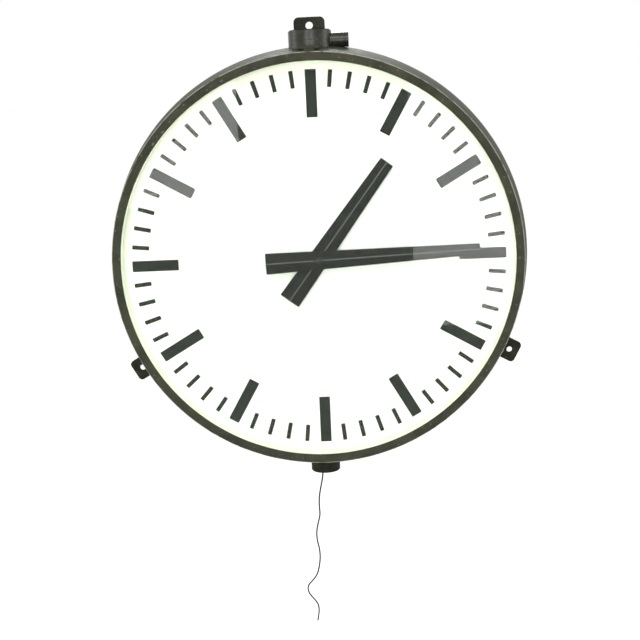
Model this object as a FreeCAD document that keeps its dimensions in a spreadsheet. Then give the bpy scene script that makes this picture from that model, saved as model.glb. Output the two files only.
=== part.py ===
import FreeCAD, Part
import math
import os

import Sketcher
from FreeCAD import Placement, Rotation, Vector

# A double sided station clock that hangs from one lug. Two dials stand back to back in a round
# case, each behind its own glazed door, with its own slave movement and its own ring lamp.
# The part's origin is the middle of the hole in the hanging lug, +Z is up, and the front dial
# looks along -Y. Every length is in millimetres.

doc = FreeCAD.newDocument("station_clock")

# ---------------------------------------------------------------- driving sizes

SIZES = [
    # everywhere
    ("cut_clear", 1.0, "a cut's run past what it cuts"),
    # case
    ("seam_radius", 325.0, "case at its middle seam"),
    ("rim_inset", 11.8, "outer front corner of a door in from that seam"),
    ("rim_radius", "=seam_radius - rim_inset", "that corner from the clock's axis"),
    ("rim_depth", 76.2, "middle of the case to that corner"),
    ("case_wall", 3.0, "wall of the case ring and doors"),
    ("split_depth", 42.0, "middle of the case to where a door begins"),
    ("door_gap", 0.6, "gap between the case ring and a shut door"),
    ("ledge_depth", 36.0, "middle of the case to the back of a dial"),
    ("ledge_thickness", 3.0, "ledge that carries a dial"),
    # door
    ("face_width", 13.2, "front face of a door across"),
    ("opening_radius", "=rim_radius - face_width", "clear opening of a door"),
    ("ledge_inset", 2.0, "inner edge of a dial's ledge in from the opening"),
    ("ledge_radius", "=opening_radius - ledge_inset", "inner edge of that ledge"),
    ("face_slope", 0.4, "door's inner front edge back from its outer corner"),
    ("lip_depth", "=rim_depth - face_slope", "middle of the case to that inner edge"),
    ("lip_thickness", 2.4, "door lip in front of the gasket"),
    ("nose_radius", 14.0, "curve of the door's front face"),
    ("gasket_thickness", 1.2, "rubber between lip and glass"),
    ("gasket_inset", 1.5, "gasket back from the opening's edge"),
    ("gasket_width", 8.0, "radial width of the gasket"),
    ("glass_overlap", 9.0, "cover glass out past the opening"),
    ("glass_radius", "=opening_radius + glass_overlap", "cover glass"),
    ("glass_bevel", 0.5, "ground edges of the cover glass"),
    ("glass_thickness", 4.0, "cover glass"),
    ("reveal_setback", 2.0, "white reveal ring back from the opening's edge"),
    ("reveal_radius", "=opening_radius + reveal_setback", "inner face of the white reveal ring"),
    ("reveal_wall", 1.2, "sheet of the reveal ring"),
    ("reveal_clearance", 1.0, "reveal ring in front of the dial"),
    ("flange_clearance", 0.1, "reveal ring's flange in from the door wall"),
    ("pip_count", 6, "pips that hold the reveal ring"),
    ("pip_width", 10.0, "one pip along the rim"),
    ("pip_depth", 4.0, "one pip along the clock's axis"),
    ("pip_reach", 4.6, "one pip inwards from the door wall"),
    # hinge
    ("hinge_depth", 58.0, "middle of the case to the hinge axis"),
    ("hinge_clearance", 0.8, "barrel above the door's flank"),
    ("barrel_radius", 3.0, "hinge barrel"),
    ("pin_radius", 1.5, "hinge pin"),
    ("pin_clearance", 0.05, "running clearance of pin and arbor bores"),
    ("knuckle_half", 8.0, "half length of the door's knuckle"),
    ("knuckle_gap", 0.3, "end play between knuckle and leaf"),
    ("leaf_half", 16.0, "half width of the hinge leaf"),
    ("leaf_back_depth", 33.4, "where the leaf starts on the case ring"),
    ("leaf_rise", 0.9, "leaf arm above the door's edge"),
    ("leaf_thickness", 2.5, "leaf arm"),
    ("leaf_knuckle_gap", 1.2, "leaf edge to the door's knuckle"),
    ("leaf_embed", 2.0, "leaf's foot drawn into the case before it is cut to fit"),
    ("leaf_overlap", 0.5, "leaf's knuckles over the end of its arm"),
    ("pin_overhang", 0.5, "hinge pin past each side of the leaf"),
    ("web_half", 2.4, "half depth of the web under the door's knuckle"),
    # latch
    ("latch_depth", 50.0, "middle of the case to the latch screw"),
    ("latch_shank", 2.5, "latch screw shank radius"),
    ("latch_play", 0.25, "latch screw in its hole"),
    ("latch_head", 4.2, "latch screw head radius"),
    ("latch_head_height", 3.0, "latch screw head"),
    ("latch_slot", 1.2, "screwdriver slot"),
    ("latch_boss", 6.0, "round boss under the head, radius"),
    ("latch_boss_rise", 1.0, "that boss above the flank"),
    ("latch_collar", 3.7, "retaining collar radius"),
    ("latch_collar_height", 0.6, "retaining collar"),
    ("latch_collar_gap", 0.2, "retaining collar to the door wall"),
    ("latch_bevel", 0.6, "edge of the latch screw's head"),
    ("tongue_width", 16.0, "tongue on the case ring"),
    ("tongue_length", 14.0, "tongue forward of the case ring"),
    ("tongue_thickness", 7.5, "tongue"),
    ("tongue_gap", 0.7, "tongue to the screw's collar"),
    ("tongue_dial_gap", 0.5, "tongue's foot to the dial"),
    ("tongue_step", 0.1, "tongue's outer step behind the ring's end"),
    # dial
    ("dial_overlap", 15.0, "opal dial out past its ledge's inner edge"),
    ("dial_radius", "=ledge_radius + dial_overlap", "opal dial"),
    ("dial_thickness", 3.0, "opal dial"),
    ("dial_hole", 6.6, "hole for the hour pipe, radius"),
    ("dial_screw_count", 6, "screws that hold a dial"),
    ("dial_screw_inset", 4.6, "in from the dial's edge"),
    ("dial_screw_circle", "=dial_radius - dial_screw_inset", "their circle's radius"),
    ("dial_screw_angle", 30.0, "the first one, degrees past 12"),
    ("dial_screw_radius", 1.5, "their shank"),
    ("dial_screw_head", 2.8, "their head radius"),
    ("dial_screw_height", 1.6, "their head"),
    ("dial_screw_play", 0.3, "shank in the dial"),
    ("mark_inset", 11.5, "outer end of every mark in from the opening"),
    ("mark_radius", "=opening_radius - mark_inset", "that end from the clock's axis"),
    ("mark_height", 0.3, "applied marks"),
    ("hour_mark_length", 72.0, "hour bar"),
    ("hour_mark_width", 16.8, "hour bar"),
    ("minute_mark_length", 26.4, "minute bar"),
    ("minute_mark_width", 6.4, "minute bar"),
    # hands
    ("minute_angle", 88.1, "minute hand, degrees past 12"),
    ("minute_plane", 54.0, "middle of the case to the minute hand's edges"),
    ("minute_reach", 247.5, "minute hand tip"),
    ("minute_tail", 80.5, "minute hand tail"),
    ("minute_tip_width", 16.8, "minute hand at its tip"),
    ("minute_tail_width", 32.3, "minute hand at its tail"),
    ("hour_angle", 37.3, "hour hand, degrees past 12"),
    ("hour_plane", 47.2, "middle of the case to the hour hand's edges"),
    ("hour_reach", 182.5, "hour hand tip"),
    ("hour_tail", 77.5, "hour hand tail"),
    ("hour_tip_width", 22.4, "hour hand at its tip"),
    ("hour_tail_width", 34.0, "hour hand at its tail"),
    ("hand_sheet", 1.2, "folded sheet of a hand"),
    ("hand_rise", 2.5, "fold line above a hand's edges"),
    ("collet_radius", 8.5, "collet behind a hand"),
    ("collet_height", 3.8, "collet along the axis"),
    ("collet_rise", 1.0, "collet's front above a hand's edges"),
    ("nut_radius", 5.75, "hub nut"),
    ("nut_height", 4.6, "hub nut"),
    ("nut_play", 0.1, "hub nut in the hand"),
    ("nut_roof", 1.4, "hub nut over the arbor's end"),
    ("nut_round", 1.2, "rounded edge of the hub nut"),
    ("arbor_end_gap", 0.2, "minute arbor's end to that roof"),
    # suspension
    ("boss_radius", 33.0, "top boss"),
    ("boss_wall", 6.0, "wall of the boss"),
    ("boss_base_rise", 7.5, "joint of the boss above the seam"),
    ("boss_joint", "=seam_radius + boss_base_rise", "centre to that joint"),
    ("boss_head_height", 14.5, "boss above its joint"),
    ("boss_top", "=boss_joint + boss_head_height", "centre to the top of the boss head"),
    ("hole_rise", 8.0, "hanging hole above the boss head"),
    ("hang_drop", "=boss_top + hole_rise", "hanging hole down to the clock's centre"),
    ("boss_roof", 6.0, "roof of the boss head"),
    ("disc_radius", 30.75, "disc on the boss head"),
    ("disc_thickness", 1.4, "disc on the boss head"),
    ("cable_hole", 18.0, "hole in the case ring under the boss, radius"),
    ("lug_half_width", 23.75, "hanging lug"),
    ("lug_thickness", 8.0, "hanging lug"),
    ("lug_top", 12.7, "hanging hole up to the lug's top"),
    ("lug_corner", 7.7, "rounding of the lug's corners"),
    ("hanging_hole", 5.75, "hanging hole radius"),
    ("lug_play", 0.2, "lug in the slots round it"),
    ("foot_radius", 26.6, "foot of the lug inside the boss"),
    ("foot_thickness", 3.5, "foot of the lug inside the boss"),
    # cable gland
    ("gland_drop", 0.5, "gland's axis under the joint of the boss"),
    ("gland_height", "=boss_joint - gland_drop", "centre to the gland's axis"),
    ("gland_radius", 11.25, "gland body"),
    ("gland_end", 54.3, "clock's middle to the end of the gland body"),
    ("gland_bore", 6.8, "bore of the gland body, radius"),
    ("gland_way_play", 1.0, "hole in the boss round that bore"),
    ("seal_radius", 8.4, "rubber seal in the gland"),
    ("seal_length", 10.0, "rubber seal in the gland"),
    ("cable_radius", 6.0, "bore of the seal"),
    ("gland_nut_radius", 11.5, "collar at the gland's end"),
    ("gland_nut_length", 5.0, "collar at the gland's end"),
    ("gland_nut_bore", 7.2, "collar at the gland's end"),
    ("gland_nut_bevel", 0.8, "collar at the gland's end"),
    # guy lugs
    ("right_guy_angle", 118.4, "right guy lug, degrees past 12"),
    ("left_guy_angle", 240.1, "left guy lug, degrees past 12"),
    ("guy_width", 34.0, "guy lug"),
    ("guy_thickness", 5.0, "guy lug"),
    ("guy_stand_out", 23.6, "guy lug out past the seam"),
    ("guy_reach", "=seam_radius + guy_stand_out", "centre to the guy lug's outer edge"),
    ("guy_hole_inset", 14.3, "guy lug's hole in from that edge"),
    ("guy_hole_centre", "=guy_reach - guy_hole_inset", "centre to the guy lug's hole"),
    ("guy_hole", 4.5, "guy lug's hole radius"),
    ("guy_corner", 6.3, "rounding of the guy lug's corners"),
    # bottom cap
    ("cap_shift", 4.0, "cap left of the middle"),
    ("cap_radius", 23.0, "bottom cap"),
    ("cap_height", 20.6, "cap's underside below the seam"),
    ("cap_bottom", "=seam_radius + cap_height", "centre down to the cap's underside"),
    ("cap_wall", 2.5, "bottom cap"),
    ("cap_corner", 3.0, "rounding of the cap's lower edge"),
    ("lead_hole", 8.0, "hole in the case ring over the cap, radius"),
    ("grommet_shift", 9.4, "cord's exit left of the middle"),
    ("grommet_flange", 4.2, "grommet flange radius"),
    ("grommet_flange_height", 1.0, "grommet flange"),
    ("grommet_bevel", 0.4, "lower edge of the grommet's flange"),
    ("grommet_neck", 3.0, "grommet in the cap's floor, radius"),
    ("cord_radius", 1.2, "supply cord"),
    ("lead_rise", 40.0, "inner lead straight up from the grommet"),
    ("lead_drop", 30.0, "inner lead straight down from its terminals"),
    # movement bar and what it carries
    ("bar_end_gap", 2.5, "bar's end to the case wall at the seam"),
    ("bar_half_length", "=seam_radius - case_wall - bar_end_gap", "bar across the case"),
    ("bar_half_height", 30.0, "bar across the case"),
    ("bar_thickness", 5.0, "bar across the case"),
    ("bar_pad_length", 20.5, "pads in the case ring behind the bar's ends"),
    ("bar_pad_gap", 1.5, "those pads to the case wall at the seam"),
    ("bar_pad_outer", "=seam_radius - case_wall - bar_pad_gap", "outer end of those pads"),
    ("bar_pad_thickness", 10.0, "those pads"),
    ("bar_screw_inset", 9.5, "bar screws in from the bar's ends"),
    ("bar_screw_x", "=bar_half_length - bar_screw_inset", "bar screws from the middle"),
    ("bar_screw_y", 18.0, "bar screws"),
    ("bar_screw_radius", 3.0, "bar screws"),
    ("bar_screw_head", 5.0, "bar screws"),
    ("bar_screw_height", 4.0, "bar screws"),
    ("bar_screw_play", 0.3, "bar screws in the bar"),
    ("bar_screw_grip", 6.0, "bar screws in the pads"),
    ("plate_left", 34.0, "movement plates"),
    ("plate_right", 46.0, "movement plates"),
    ("ballast_gap", 12.0, "ballast beside the movement plates"),
    ("ballast_start", "=plate_right + ballast_gap", "ballast along the bar"),
    ("ballast_length", 64.0, "ballast"),
    ("lamp_gap", 20.0, "ballast's end to the middle of the lamp's tube"),
    ("lamp_radius", "=ballast_start + ballast_length + lamp_gap", "ring lamp, to the middle of its tube"),
    ("lamp_tube", 8.0, "ring lamp's tube radius"),
    ("lamp_depth", 20.0, "middle of the case to the ring lamp"),
    ("clip_half_length", 12.0, "lamp clip"),
    ("clip_half_height", 8.0, "lamp clip"),
    ("ballast_height", 40.0, "ballast"),
    ("ballast_depth", 24.0, "ballast"),
    ("ballast_lid", 2.0, "step round the ballast's lid"),
    ("block_gap", 26.0, "terminal block beside the movement plates"),
    ("block_start", "=plate_left + block_gap", "terminal block along the bar, to the left"),
    ("block_length", 50.0, "terminal block"),
    ("block_height", 20.0, "terminal block"),
    ("block_depth", 16.0, "terminal block"),
    ("block_ways", 4, "ways of the terminal block"),
    ("block_bore", 2.2, "wire holes of the terminal block"),
    ("block_bore_depth", 6.0, "wire holes of the terminal block"),
    # movement
    ("plate_top", 40.0, "movement plates"),
    ("plate_bottom", 84.0, "movement plates"),
    ("plate_thickness", 2.0, "movement plates"),
    ("plate_corner", 6.0, "pillars and screws in from the plates' edges"),
    ("pillar_length", 19.5, "pillars between the plates"),
    ("pillar_radius", 3.0, "pillars between the plates"),
    ("arbor_radius", 3.0, "minute arbor"),
    ("back_journal", 2.0, "minute arbor's back journal"),
    ("pipe_wall", 2.0, "hour pipe"),
    ("pipe_top", 50.2, "middle of the case to the end of the hour pipe"),
    ("end_shake", 0.2, "play of an arbor along its axis, at each end"),
    ("pinion_length", 3.5, "pinions between the plates"),
    ("minute_wheel_rise", 1.0, "minute wheel in front of the back plate"),
    ("drive_pinion_rise", 0.5, "drive pinion in front of the back plate"),
    ("drive_wheel_back", 4.0, "drive wheel behind the front plate"),
    ("rotor_pinion_back", 5.0, "rotor's pinion behind the front plate"),
    ("cannon_rise", 0.6, "cannon pinion in front of the front plate"),
    ("cannon_length", 4.4, "cannon pinion"),
    ("motion_rise", 1.0, "motion wheel in front of the front plate"),
    ("motion_pinion_length", 6.2, "motion wheel's pinion with its wheel"),
    ("hour_wheel_rise", 5.4, "hour wheel in front of the front plate"),
    ("motion_module", 1.0, "motion work"),
    ("motion_angle", 135.0, "motion wheel seen from the front, degrees"),
    ("stud_radius", 1.5, "motion wheel's stud"),
    ("stud_length", 7.6, "motion wheel's stud"),
    ("train_module", 0.8, "minute wheel and its pinion"),
    ("rotor_module", 0.6, "drive wheel and the rotor's pinion"),
    ("rotor_angle", -10.0, "rotor seen from the drive arbor, degrees"),
    ("wheel_thickness", 1.5, "brass wheels"),
    ("drive_arbor", 1.5, "drive arbor"),
    ("drive_journal", 1.0, "drive arbor's journals"),
    ("rotor_journal", 0.8, "rotor arbor"),
    ("rotor_radius", 11.0, "rotor magnet"),
    ("rotor_start", 9.5, "middle of the case to the rotor magnet"),
    ("rotor_length", 7.0, "rotor magnet"),
    ("rotor_air", 1.0, "air gap round the rotor"),
    ("stator_start", 11.0, "middle of the case to the stator"),
    ("stator_thickness", 4.0, "stator plates"),
    ("stator_web", 2.6, "stator round the rotor"),
    ("stator_height", 56.0, "stator"),
    ("stator_limb", 6.0, "limb through the coil"),
    ("coil_length", 21.0, "coil along the limb"),
    ("coil_build", 6.0, "winding round the limb"),
    ("coil_side_gap", 0.5, "stator's window to each end of the winding"),
    ("coil_top_gap", 4.0, "stator's window above the winding"),
    ("coil_step", 0.5, "winding thinner in front of the limb and behind it"),
    ("post_radius", 2.2, "posts under the stator"),
    ("post_inset", 0.3, "posts in from the stator's edges"),
    ("post_drop", 3.0, "upper post under the rotor's magnet"),
]

sheet = doc.addObject("Spreadsheet::Sheet", "Sizes")
for row, (alias, amount, note) in enumerate(SIZES, start=1):
    sheet.set(f"A{row}", alias)
    sheet.set(f"B{row}", str(amount))
    sheet.set(f"C{row}", note)
    sheet.setAlias(f"B{row}", alias)

# One number that reads any expression over the sheet, for the places where geometry is drawn.
gauge = doc.addObject("App::FeaturePython", "gauge")
gauge.addProperty("App::PropertyFloat", "Reading")
doc.recompute()

aliases = sorted((alias for alias, amount, note in SIZES), key=len, reverse=True)


def full(text):
    """An expression with each size written as a cell of the sheet."""
    words = []
    word = ""
    for letter in str(text) + " ":
        if letter.isalnum() or letter in "_.":
            word += letter
            continue
        words.append("Sizes." + word if word in aliases else word)
        words.append(letter)
        word = ""
    return "".join(words).strip()


known = {}


def size(text):
    """The present value of an expression over the sizes."""
    if text not in known:
        gauge.setExpression("Reading", full(text))
        gauge.recompute()
        known[text] = gauge.Reading
    return known[text]


def bind(thing, target, text):
    """Tie one property of an object to the sheet."""
    thing.setExpression(target, full(text))


# ---------------------------------------------------------------- frames
# A face frame has its Z out of a dial, X to the right and Y up, as its viewer sees them.

FRONT = Rotation(Vector(1, 0, 0), 90)
REAR = Rotation(Vector(0, 0, 1), 180) * FRONT
UPRIGHT = Rotation()
TO_THE_RIGHT = Rotation(Vector(0, 1, 0), 90)
SIDES = (("front", FRONT), ("rear", REAR))


def new_body(name, rotation, right="0", up="0", turned_by=0.0):
    """An empty body at the clock's centre, or right and up from it in its own frame."""
    body = doc.addObject("PartDesign::Body", name)
    body.Label = name
    body.AllowCompound = True
    side = -1 if rotation.isSame(REAR, 1e-9) else 1
    body.Placement = Placement(Vector(), rotation * Rotation(Vector(0, 0, 1), turned_by))
    bind(body, "Placement.Base.x", f"{side} * ({right})")
    bind(body, "Placement.Base.z", f"({up}) - hang_drop")
    return body


def plane_of(body, role):
    return next(item for item in body.Origin.OriginFeatures if item.Role == role)


# ---------------------------------------------------------------- sketches

def new_sketch(body, role, height="0", across="0", turned_by=0.0):
    """A sketch on one of the body's planes, raised by height and moved across."""
    sketch = body.newObject("Sketcher::SketchObject", f"{body.Name}_sketch")
    sketch.AttachmentSupport = [(plane_of(body, role), "")]
    sketch.MapMode = "FlatFace"
    spin = Rotation(Vector(0, 0, 1), turned_by)
    sketch.AttachmentOffset = Placement(Vector(size(across), 0, size(height)), spin)
    bind(sketch, "AttachmentOffset.Base.z", height)
    bind(sketch, "AttachmentOffset.Base.x", across)
    return sketch


def tie(sketch, kind, geometry, end, text):
    """Hold one point of a sketch at a distance from the sketch's origin."""
    index = sketch.addConstraint(Sketcher.Constraint(kind, -1, 1, geometry, end, size(text)))
    bind(sketch, f"Constraints[{index}]", text)


def arc_between(start, end, radius):
    """The short arc of a signed radius, which bulges left of its way when positive.

    It is drawn anticlockwise, so one that bulges left runs from end to start.
    """
    chord = end - start
    half = chord.Length / 2
    rise = abs(radius) - math.sqrt(radius * radius - half * half)
    left = Vector(-chord.y, chord.x, 0).normalize()
    crest = (start + end) * 0.5 + left * math.copysign(rise, radius)
    return Part.Arc(end, crest, start) if radius > 0 else Part.Arc(start, crest, end)


def draw(sketch, corners, arcs=None):
    """A closed outline through corners, with arcs {index of the first corner: signed radius}."""
    arcs = arcs or {}
    points = [Vector(size(across), size(up), 0) for across, up in corners]
    first = sketch.GeometryCount
    count = len(points)
    ends = []
    for index in range(count):
        start = points[index]
        stop = points[(index + 1) % count]
        if index in arcs:
            radius = size(arcs[index])
            sketch.addGeometry(arc_between(start, stop, radius))
            ends.append((2, 1) if radius > 0 else (1, 2))
        else:
            sketch.addGeometry(Part.LineSegment(start, stop))
            ends.append((1, 2))
    for index in range(count):
        after = (index + 1) % count
        sketch.addConstraint(Sketcher.Constraint(
            "Coincident", first + index, ends[index][1], first + after, ends[after][0]))
    for index, (across, up) in enumerate(corners):
        tie(sketch, "DistanceX", first + index, ends[index][0], across)
        tie(sketch, "DistanceY", first + index, ends[index][0], up)
    for index, radius in arcs.items():
        place = sketch.addConstraint(Sketcher.Constraint("Radius", first + index, abs(size(radius))))
        bind(sketch, f"Constraints[{place}]", f"abs({radius})")


def draw_circle(sketch, across, up, radius):
    middle = Vector(size(across), size(up), 0)
    index = sketch.addGeometry(Part.Circle(middle, Vector(0, 0, 1), size(radius)))
    tie(sketch, "DistanceX", index, 3, across)
    tie(sketch, "DistanceY", index, 3, up)
    place = sketch.addConstraint(Sketcher.Constraint("Radius", index, size(radius)))
    bind(sketch, f"Constraints[{place}]", radius)


def box_corners(left, bottom, right, top):
    return [(left, bottom), (right, bottom), (right, top), (left, top)]


# ---------------------------------------------------------------- features

def finish_feature(body, feature):
    body.Tip = feature
    return feature


def turn(body, corners, arcs=None, role="XZ_Plane", cut=False, across="0"):
    """Turn an outline of (radius, height) corners round the sketch's upright axis."""
    sketch = new_sketch(body, role, across=across)
    draw(sketch, corners, arcs)
    kind = "PartDesign::Groove" if cut else "PartDesign::Revolution"
    feature = body.newObject(kind, f"{body.Name}_turned")
    feature.Profile = sketch
    feature.ReferenceAxis = (sketch, ["V_Axis"])
    feature.Angle = 360
    return finish_feature(body, feature)


def pad(body, sketch, length, both_ways=False):
    feature = body.newObject("PartDesign::Pad", f"{body.Name}_pad")
    feature.Profile = sketch
    feature.SideType = "Symmetric" if both_ways else "One side"
    bind(feature, "Length", length)
    return finish_feature(body, feature)


def pocket(body, sketch, length, both_ways=False, forward=False):
    """Cut a sketch's outline, behind its plane or forward of it."""
    feature = body.newObject("PartDesign::Pocket", f"{body.Name}_pocket")
    feature.Profile = sketch
    feature.SideType = "Symmetric" if both_ways else "One side"
    feature.Reversed = forward
    bind(feature, "Length", length)
    return finish_feature(body, feature)


def ring_of(body, feature, count):
    """Repeat one feature round the body's Z axis."""
    pattern = body.newObject("PartDesign::PolarPattern", f"{body.Name}_ring")
    pattern.Originals = [feature]
    pattern.Axis = (plane_of(body, "Z_Axis"), [""])
    pattern.Angle = 360
    bind(pattern, "Occurrences", count)
    return finish_feature(body, pattern)


def round_edges(body, radius, wanted):
    """Fillet the straight edges whose middle passes a test."""
    doc.recompute()
    base = body.Tip
    names = []
    for number, edge in enumerate(base.Shape.Edges, start=1):
        if isinstance(edge.Curve, Part.Line) and wanted(edge.CenterOfMass):
            names.append(f"Edge{number}")
    feature = body.newObject("PartDesign::Fillet", f"{body.Name}_fillet")
    feature.Base = (base, names)
    bind(feature, "Radius", radius)
    return finish_feature(body, feature)


# ---------------------------------------------------------------- the case's outer shape

def flank(depth):
    """Outer radius of the case at a distance from its middle."""
    return f"(seam_radius - (seam_radius - rim_radius) * ({depth}) / rim_depth)"


def inner(depth):
    return f"({flank(depth)} - case_wall)"


def cut_to_case(body, role, depth="rim_depth", across="0"):
    """Cut a piece to the double cone of the case, so that it sits on the case's skin."""
    corners = [("0", f"-({depth})"), (flank(depth), f"-({depth})"), ("seam_radius", "0"),
               (flank(depth), depth), ("0", depth)]
    return turn(body, corners, role=role, cut=True, across=across)


LEDGE_BACK = "(ledge_depth - ledge_thickness)"
DIAL_FRONT = "(ledge_depth + dial_thickness)"
DOOR_START = "(split_depth + door_gap)"
LIP_BACK = "(lip_depth - lip_thickness)"
GLASS_FRONT = f"({LIP_BACK} - gasket_thickness)"
GLASS_BACK = f"({GLASS_FRONT} - glass_thickness)"
FLANGE_BACK = f"({GLASS_BACK} - reveal_wall)"
HINGE_HEIGHT = f"({flank('hinge_depth')} + hinge_clearance + barrel_radius)"
COLLAR_RADIUS = f"({inner('latch_depth + latch_collar')} - latch_collar_gap)"
TONGUE_OUTER = f"({COLLAR_RADIUS} - latch_collar_height - tongue_gap)"
HEAD_SEAT = f"({flank('latch_depth')} + latch_boss_rise)"
GLAND_WAY = "(gland_bore + gland_way_play)"


DIAL_SCREW_AT = ("(dial_screw_circle * sin(dial_screw_angle * 1 deg))",
                 "(dial_screw_circle * cos(dial_screw_angle * 1 deg))")


def make_case_ring():
    body = new_body("case_ring", FRONT)
    corners = [
        (flank("split_depth"), "split_depth"), ("seam_radius", "0"),
        (flank("split_depth"), "-split_depth"), (inner("split_depth"), "-split_depth"),
        (inner("ledge_depth"), "-ledge_depth"), ("ledge_radius", "-ledge_depth"),
        ("ledge_radius", f"-{LEDGE_BACK}"), (inner(LEDGE_BACK), f"-{LEDGE_BACK}"),
        ("seam_radius - case_wall", "0"), (inner(LEDGE_BACK), LEDGE_BACK),
        ("ledge_radius", LEDGE_BACK), ("ledge_radius", "ledge_depth"),
        (inner("ledge_depth"), "ledge_depth"), (inner("split_depth"), "split_depth"),
    ]
    turn(body, corners)

    # pads for the ends of the movement bar
    sketch = new_sketch(body, "XY_Plane", "-bar_thickness / 2 - bar_pad_thickness")
    for left, right in (("bar_pad_outer - bar_pad_length", "bar_pad_outer"),
                        ("-bar_pad_outer", "bar_pad_length - bar_pad_outer")):
        draw(sketch, box_corners(left, "-bar_half_height", right, "bar_half_height"))
    pad(body, sketch, "bar_pad_thickness")

    # one tongue for each door's latch screw, which stands inside the foot of the door
    for sign in ("", "-"):
        sketch = new_sketch(body, "YZ_Plane")
        inside = f"-({TONGUE_OUTER} - tongue_thickness)"
        outside = f"-{TONGUE_OUTER}"
        in_the_wall = f"-({inner('split_depth')} + case_wall / 2)"
        foot = f"{sign}({DIAL_FRONT} + tongue_dial_gap)"
        step = f"{sign}(split_depth - tongue_step)"
        tip = f"{sign}(split_depth + tongue_length)"
        draw(sketch, [(inside, foot), (inside, tip), (outside, tip), (outside, step),
                      (in_the_wall, step), (in_the_wall, foot)])
        pad(body, sketch, "tongue_width", both_ways=True)

    # holes: latch screws, dial screws, bar screws, the cable's way in and the cord's way out
    sketch = new_sketch(body, "XZ_Plane", f"{TONGUE_OUTER} + cut_clear")
    for sign in ("", "-"):
        draw_circle(sketch, "0", f"{sign}latch_depth", "latch_shank")
    pocket(body, sketch, "tongue_thickness + 2 * cut_clear")
    sketch = new_sketch(body, "XY_Plane")
    draw_circle(sketch, *DIAL_SCREW_AT, "dial_screw_radius")
    ring_of(body, pocket(body, sketch, "2 * split_depth", both_ways=True), "dial_screw_count")
    sketch = new_sketch(body, "XY_Plane", "-bar_thickness / 2")
    for across in ("bar_screw_x", "-bar_screw_x"):
        for up in ("bar_screw_y", "-bar_screw_y"):
            draw_circle(sketch, across, up, "bar_screw_radius")
    pocket(body, sketch, "bar_screw_grip")
    sketch = new_sketch(body, "XZ_Plane", "-seam_radius - cut_clear")
    draw_circle(sketch, "0", "0", "cable_hole")
    pocket(body, sketch, "rim_inset + 3 * case_wall", forward=True)
    sketch = new_sketch(body, "XZ_Plane", "seam_radius + cut_clear")
    draw_circle(sketch, "-grommet_shift", "0", "lead_hole")
    pocket(body, sketch, "rim_inset + 3 * case_wall")
    return body


# ---------------------------------------------------------------- suspension and cable entry

def lug_slot(body, top):
    """The slot that the hanging lug passes through."""
    sketch = new_sketch(body, "XY_Plane", top)
    draw(sketch, box_corners("-lug_half_width - lug_play", "-lug_thickness / 2 - lug_play",
                             "lug_half_width + lug_play", "lug_thickness / 2 + lug_play"))
    pocket(body, sketch, "boss_roof + disc_thickness")


def gland_way(body):
    """The hole through the boss wall behind the cable gland."""
    sketch = new_sketch(body, "YZ_Plane")
    draw_circle(sketch, "0", "gland_height", GLAND_WAY)
    pocket(body, sketch, "boss_radius + cut_clear", forward=True)


def make_boss_base():
    body = new_body("boss_base", UPRIGHT)
    low = "rim_radius - boss_wall"
    turn(body, [("boss_radius - boss_wall", low), ("boss_radius", low),
                ("boss_radius", "boss_joint"), ("boss_radius - boss_wall", "boss_joint")])
    cut_to_case(body, "XY_Plane")
    gland_way(body)
    return body


def make_boss_head():
    body = new_body("boss_head", UPRIGHT)
    under_roof = "boss_top - boss_roof"
    turn(body, [("boss_radius - boss_wall", "boss_joint"), ("boss_radius", "boss_joint"),
                ("boss_radius", "boss_top"), ("0", "boss_top"), ("0", under_roof),
                ("boss_radius - boss_wall", under_roof)])
    gland_way(body)
    lug_slot(body, "boss_top")
    return body


def make_boss_disc():
    body = new_body("boss_disc", UPRIGHT)
    top = "boss_top + disc_thickness"
    turn(body, [("0", "boss_top"), ("disc_radius", "boss_top"),
                ("disc_radius", "boss_top + disc_thickness / 2"),
                ("disc_radius - disc_thickness / 2", top), ("0", top)])
    lug_slot(body, top)
    return body


def make_hanging_lug():
    body = new_body("hanging_lug", UPRIGHT)
    foot_top = "(boss_top - boss_roof)"
    sketch = new_sketch(body, "XZ_Plane")
    draw(sketch, box_corners("-lug_half_width", f"{foot_top} - foot_thickness",
                             "lug_half_width", "hang_drop + lug_top"))
    pad(body, sketch, "lug_thickness", both_ways=True)
    top = size("hang_drop + lug_top")
    round_edges(body, "lug_corner", lambda middle: abs(middle.z - top) < 0.01 and abs(middle.x) > 1)
    sketch = new_sketch(body, "XY_Plane", f"{foot_top} - foot_thickness")
    draw_circle(sketch, "0", "0", "foot_radius")
    pad(body, sketch, "foot_thickness")
    sketch = new_sketch(body, "XZ_Plane")
    draw_circle(sketch, "0", "hang_drop", "hanging_hole")
    pocket(body, sketch, "lug_thickness * 2", both_ways=True)
    return body


def make_gland_body():
    """The gland's outer end holds the seal, and its inner end is cut to sit on the boss."""
    body = new_body("gland_body", TO_THE_RIGHT, up="gland_height")
    start = "boss_radius - boss_wall"
    seal_start = "gland_end - seal_length"
    turn(body, [("gland_bore", start), ("gland_radius", start), ("gland_radius", "gland_end"),
                ("seal_radius", "gland_end"), ("seal_radius", seal_start), ("gland_bore", seal_start)])
    sketch = new_sketch(body, "YZ_Plane")
    draw_circle(sketch, "0", "0", "boss_radius")
    pocket(body, sketch, "gland_radius * 3", both_ways=True)
    cut_to_case(body, "XY_Plane", across="gland_height")
    return body


def make_gland_seal():
    body = new_body("gland_seal", TO_THE_RIGHT, up="gland_height")
    start = "gland_end - seal_length"
    turn(body, [("cable_radius", start), ("seal_radius", start),
                ("seal_radius", "gland_end"), ("cable_radius", "gland_end")])
    return body


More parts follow.
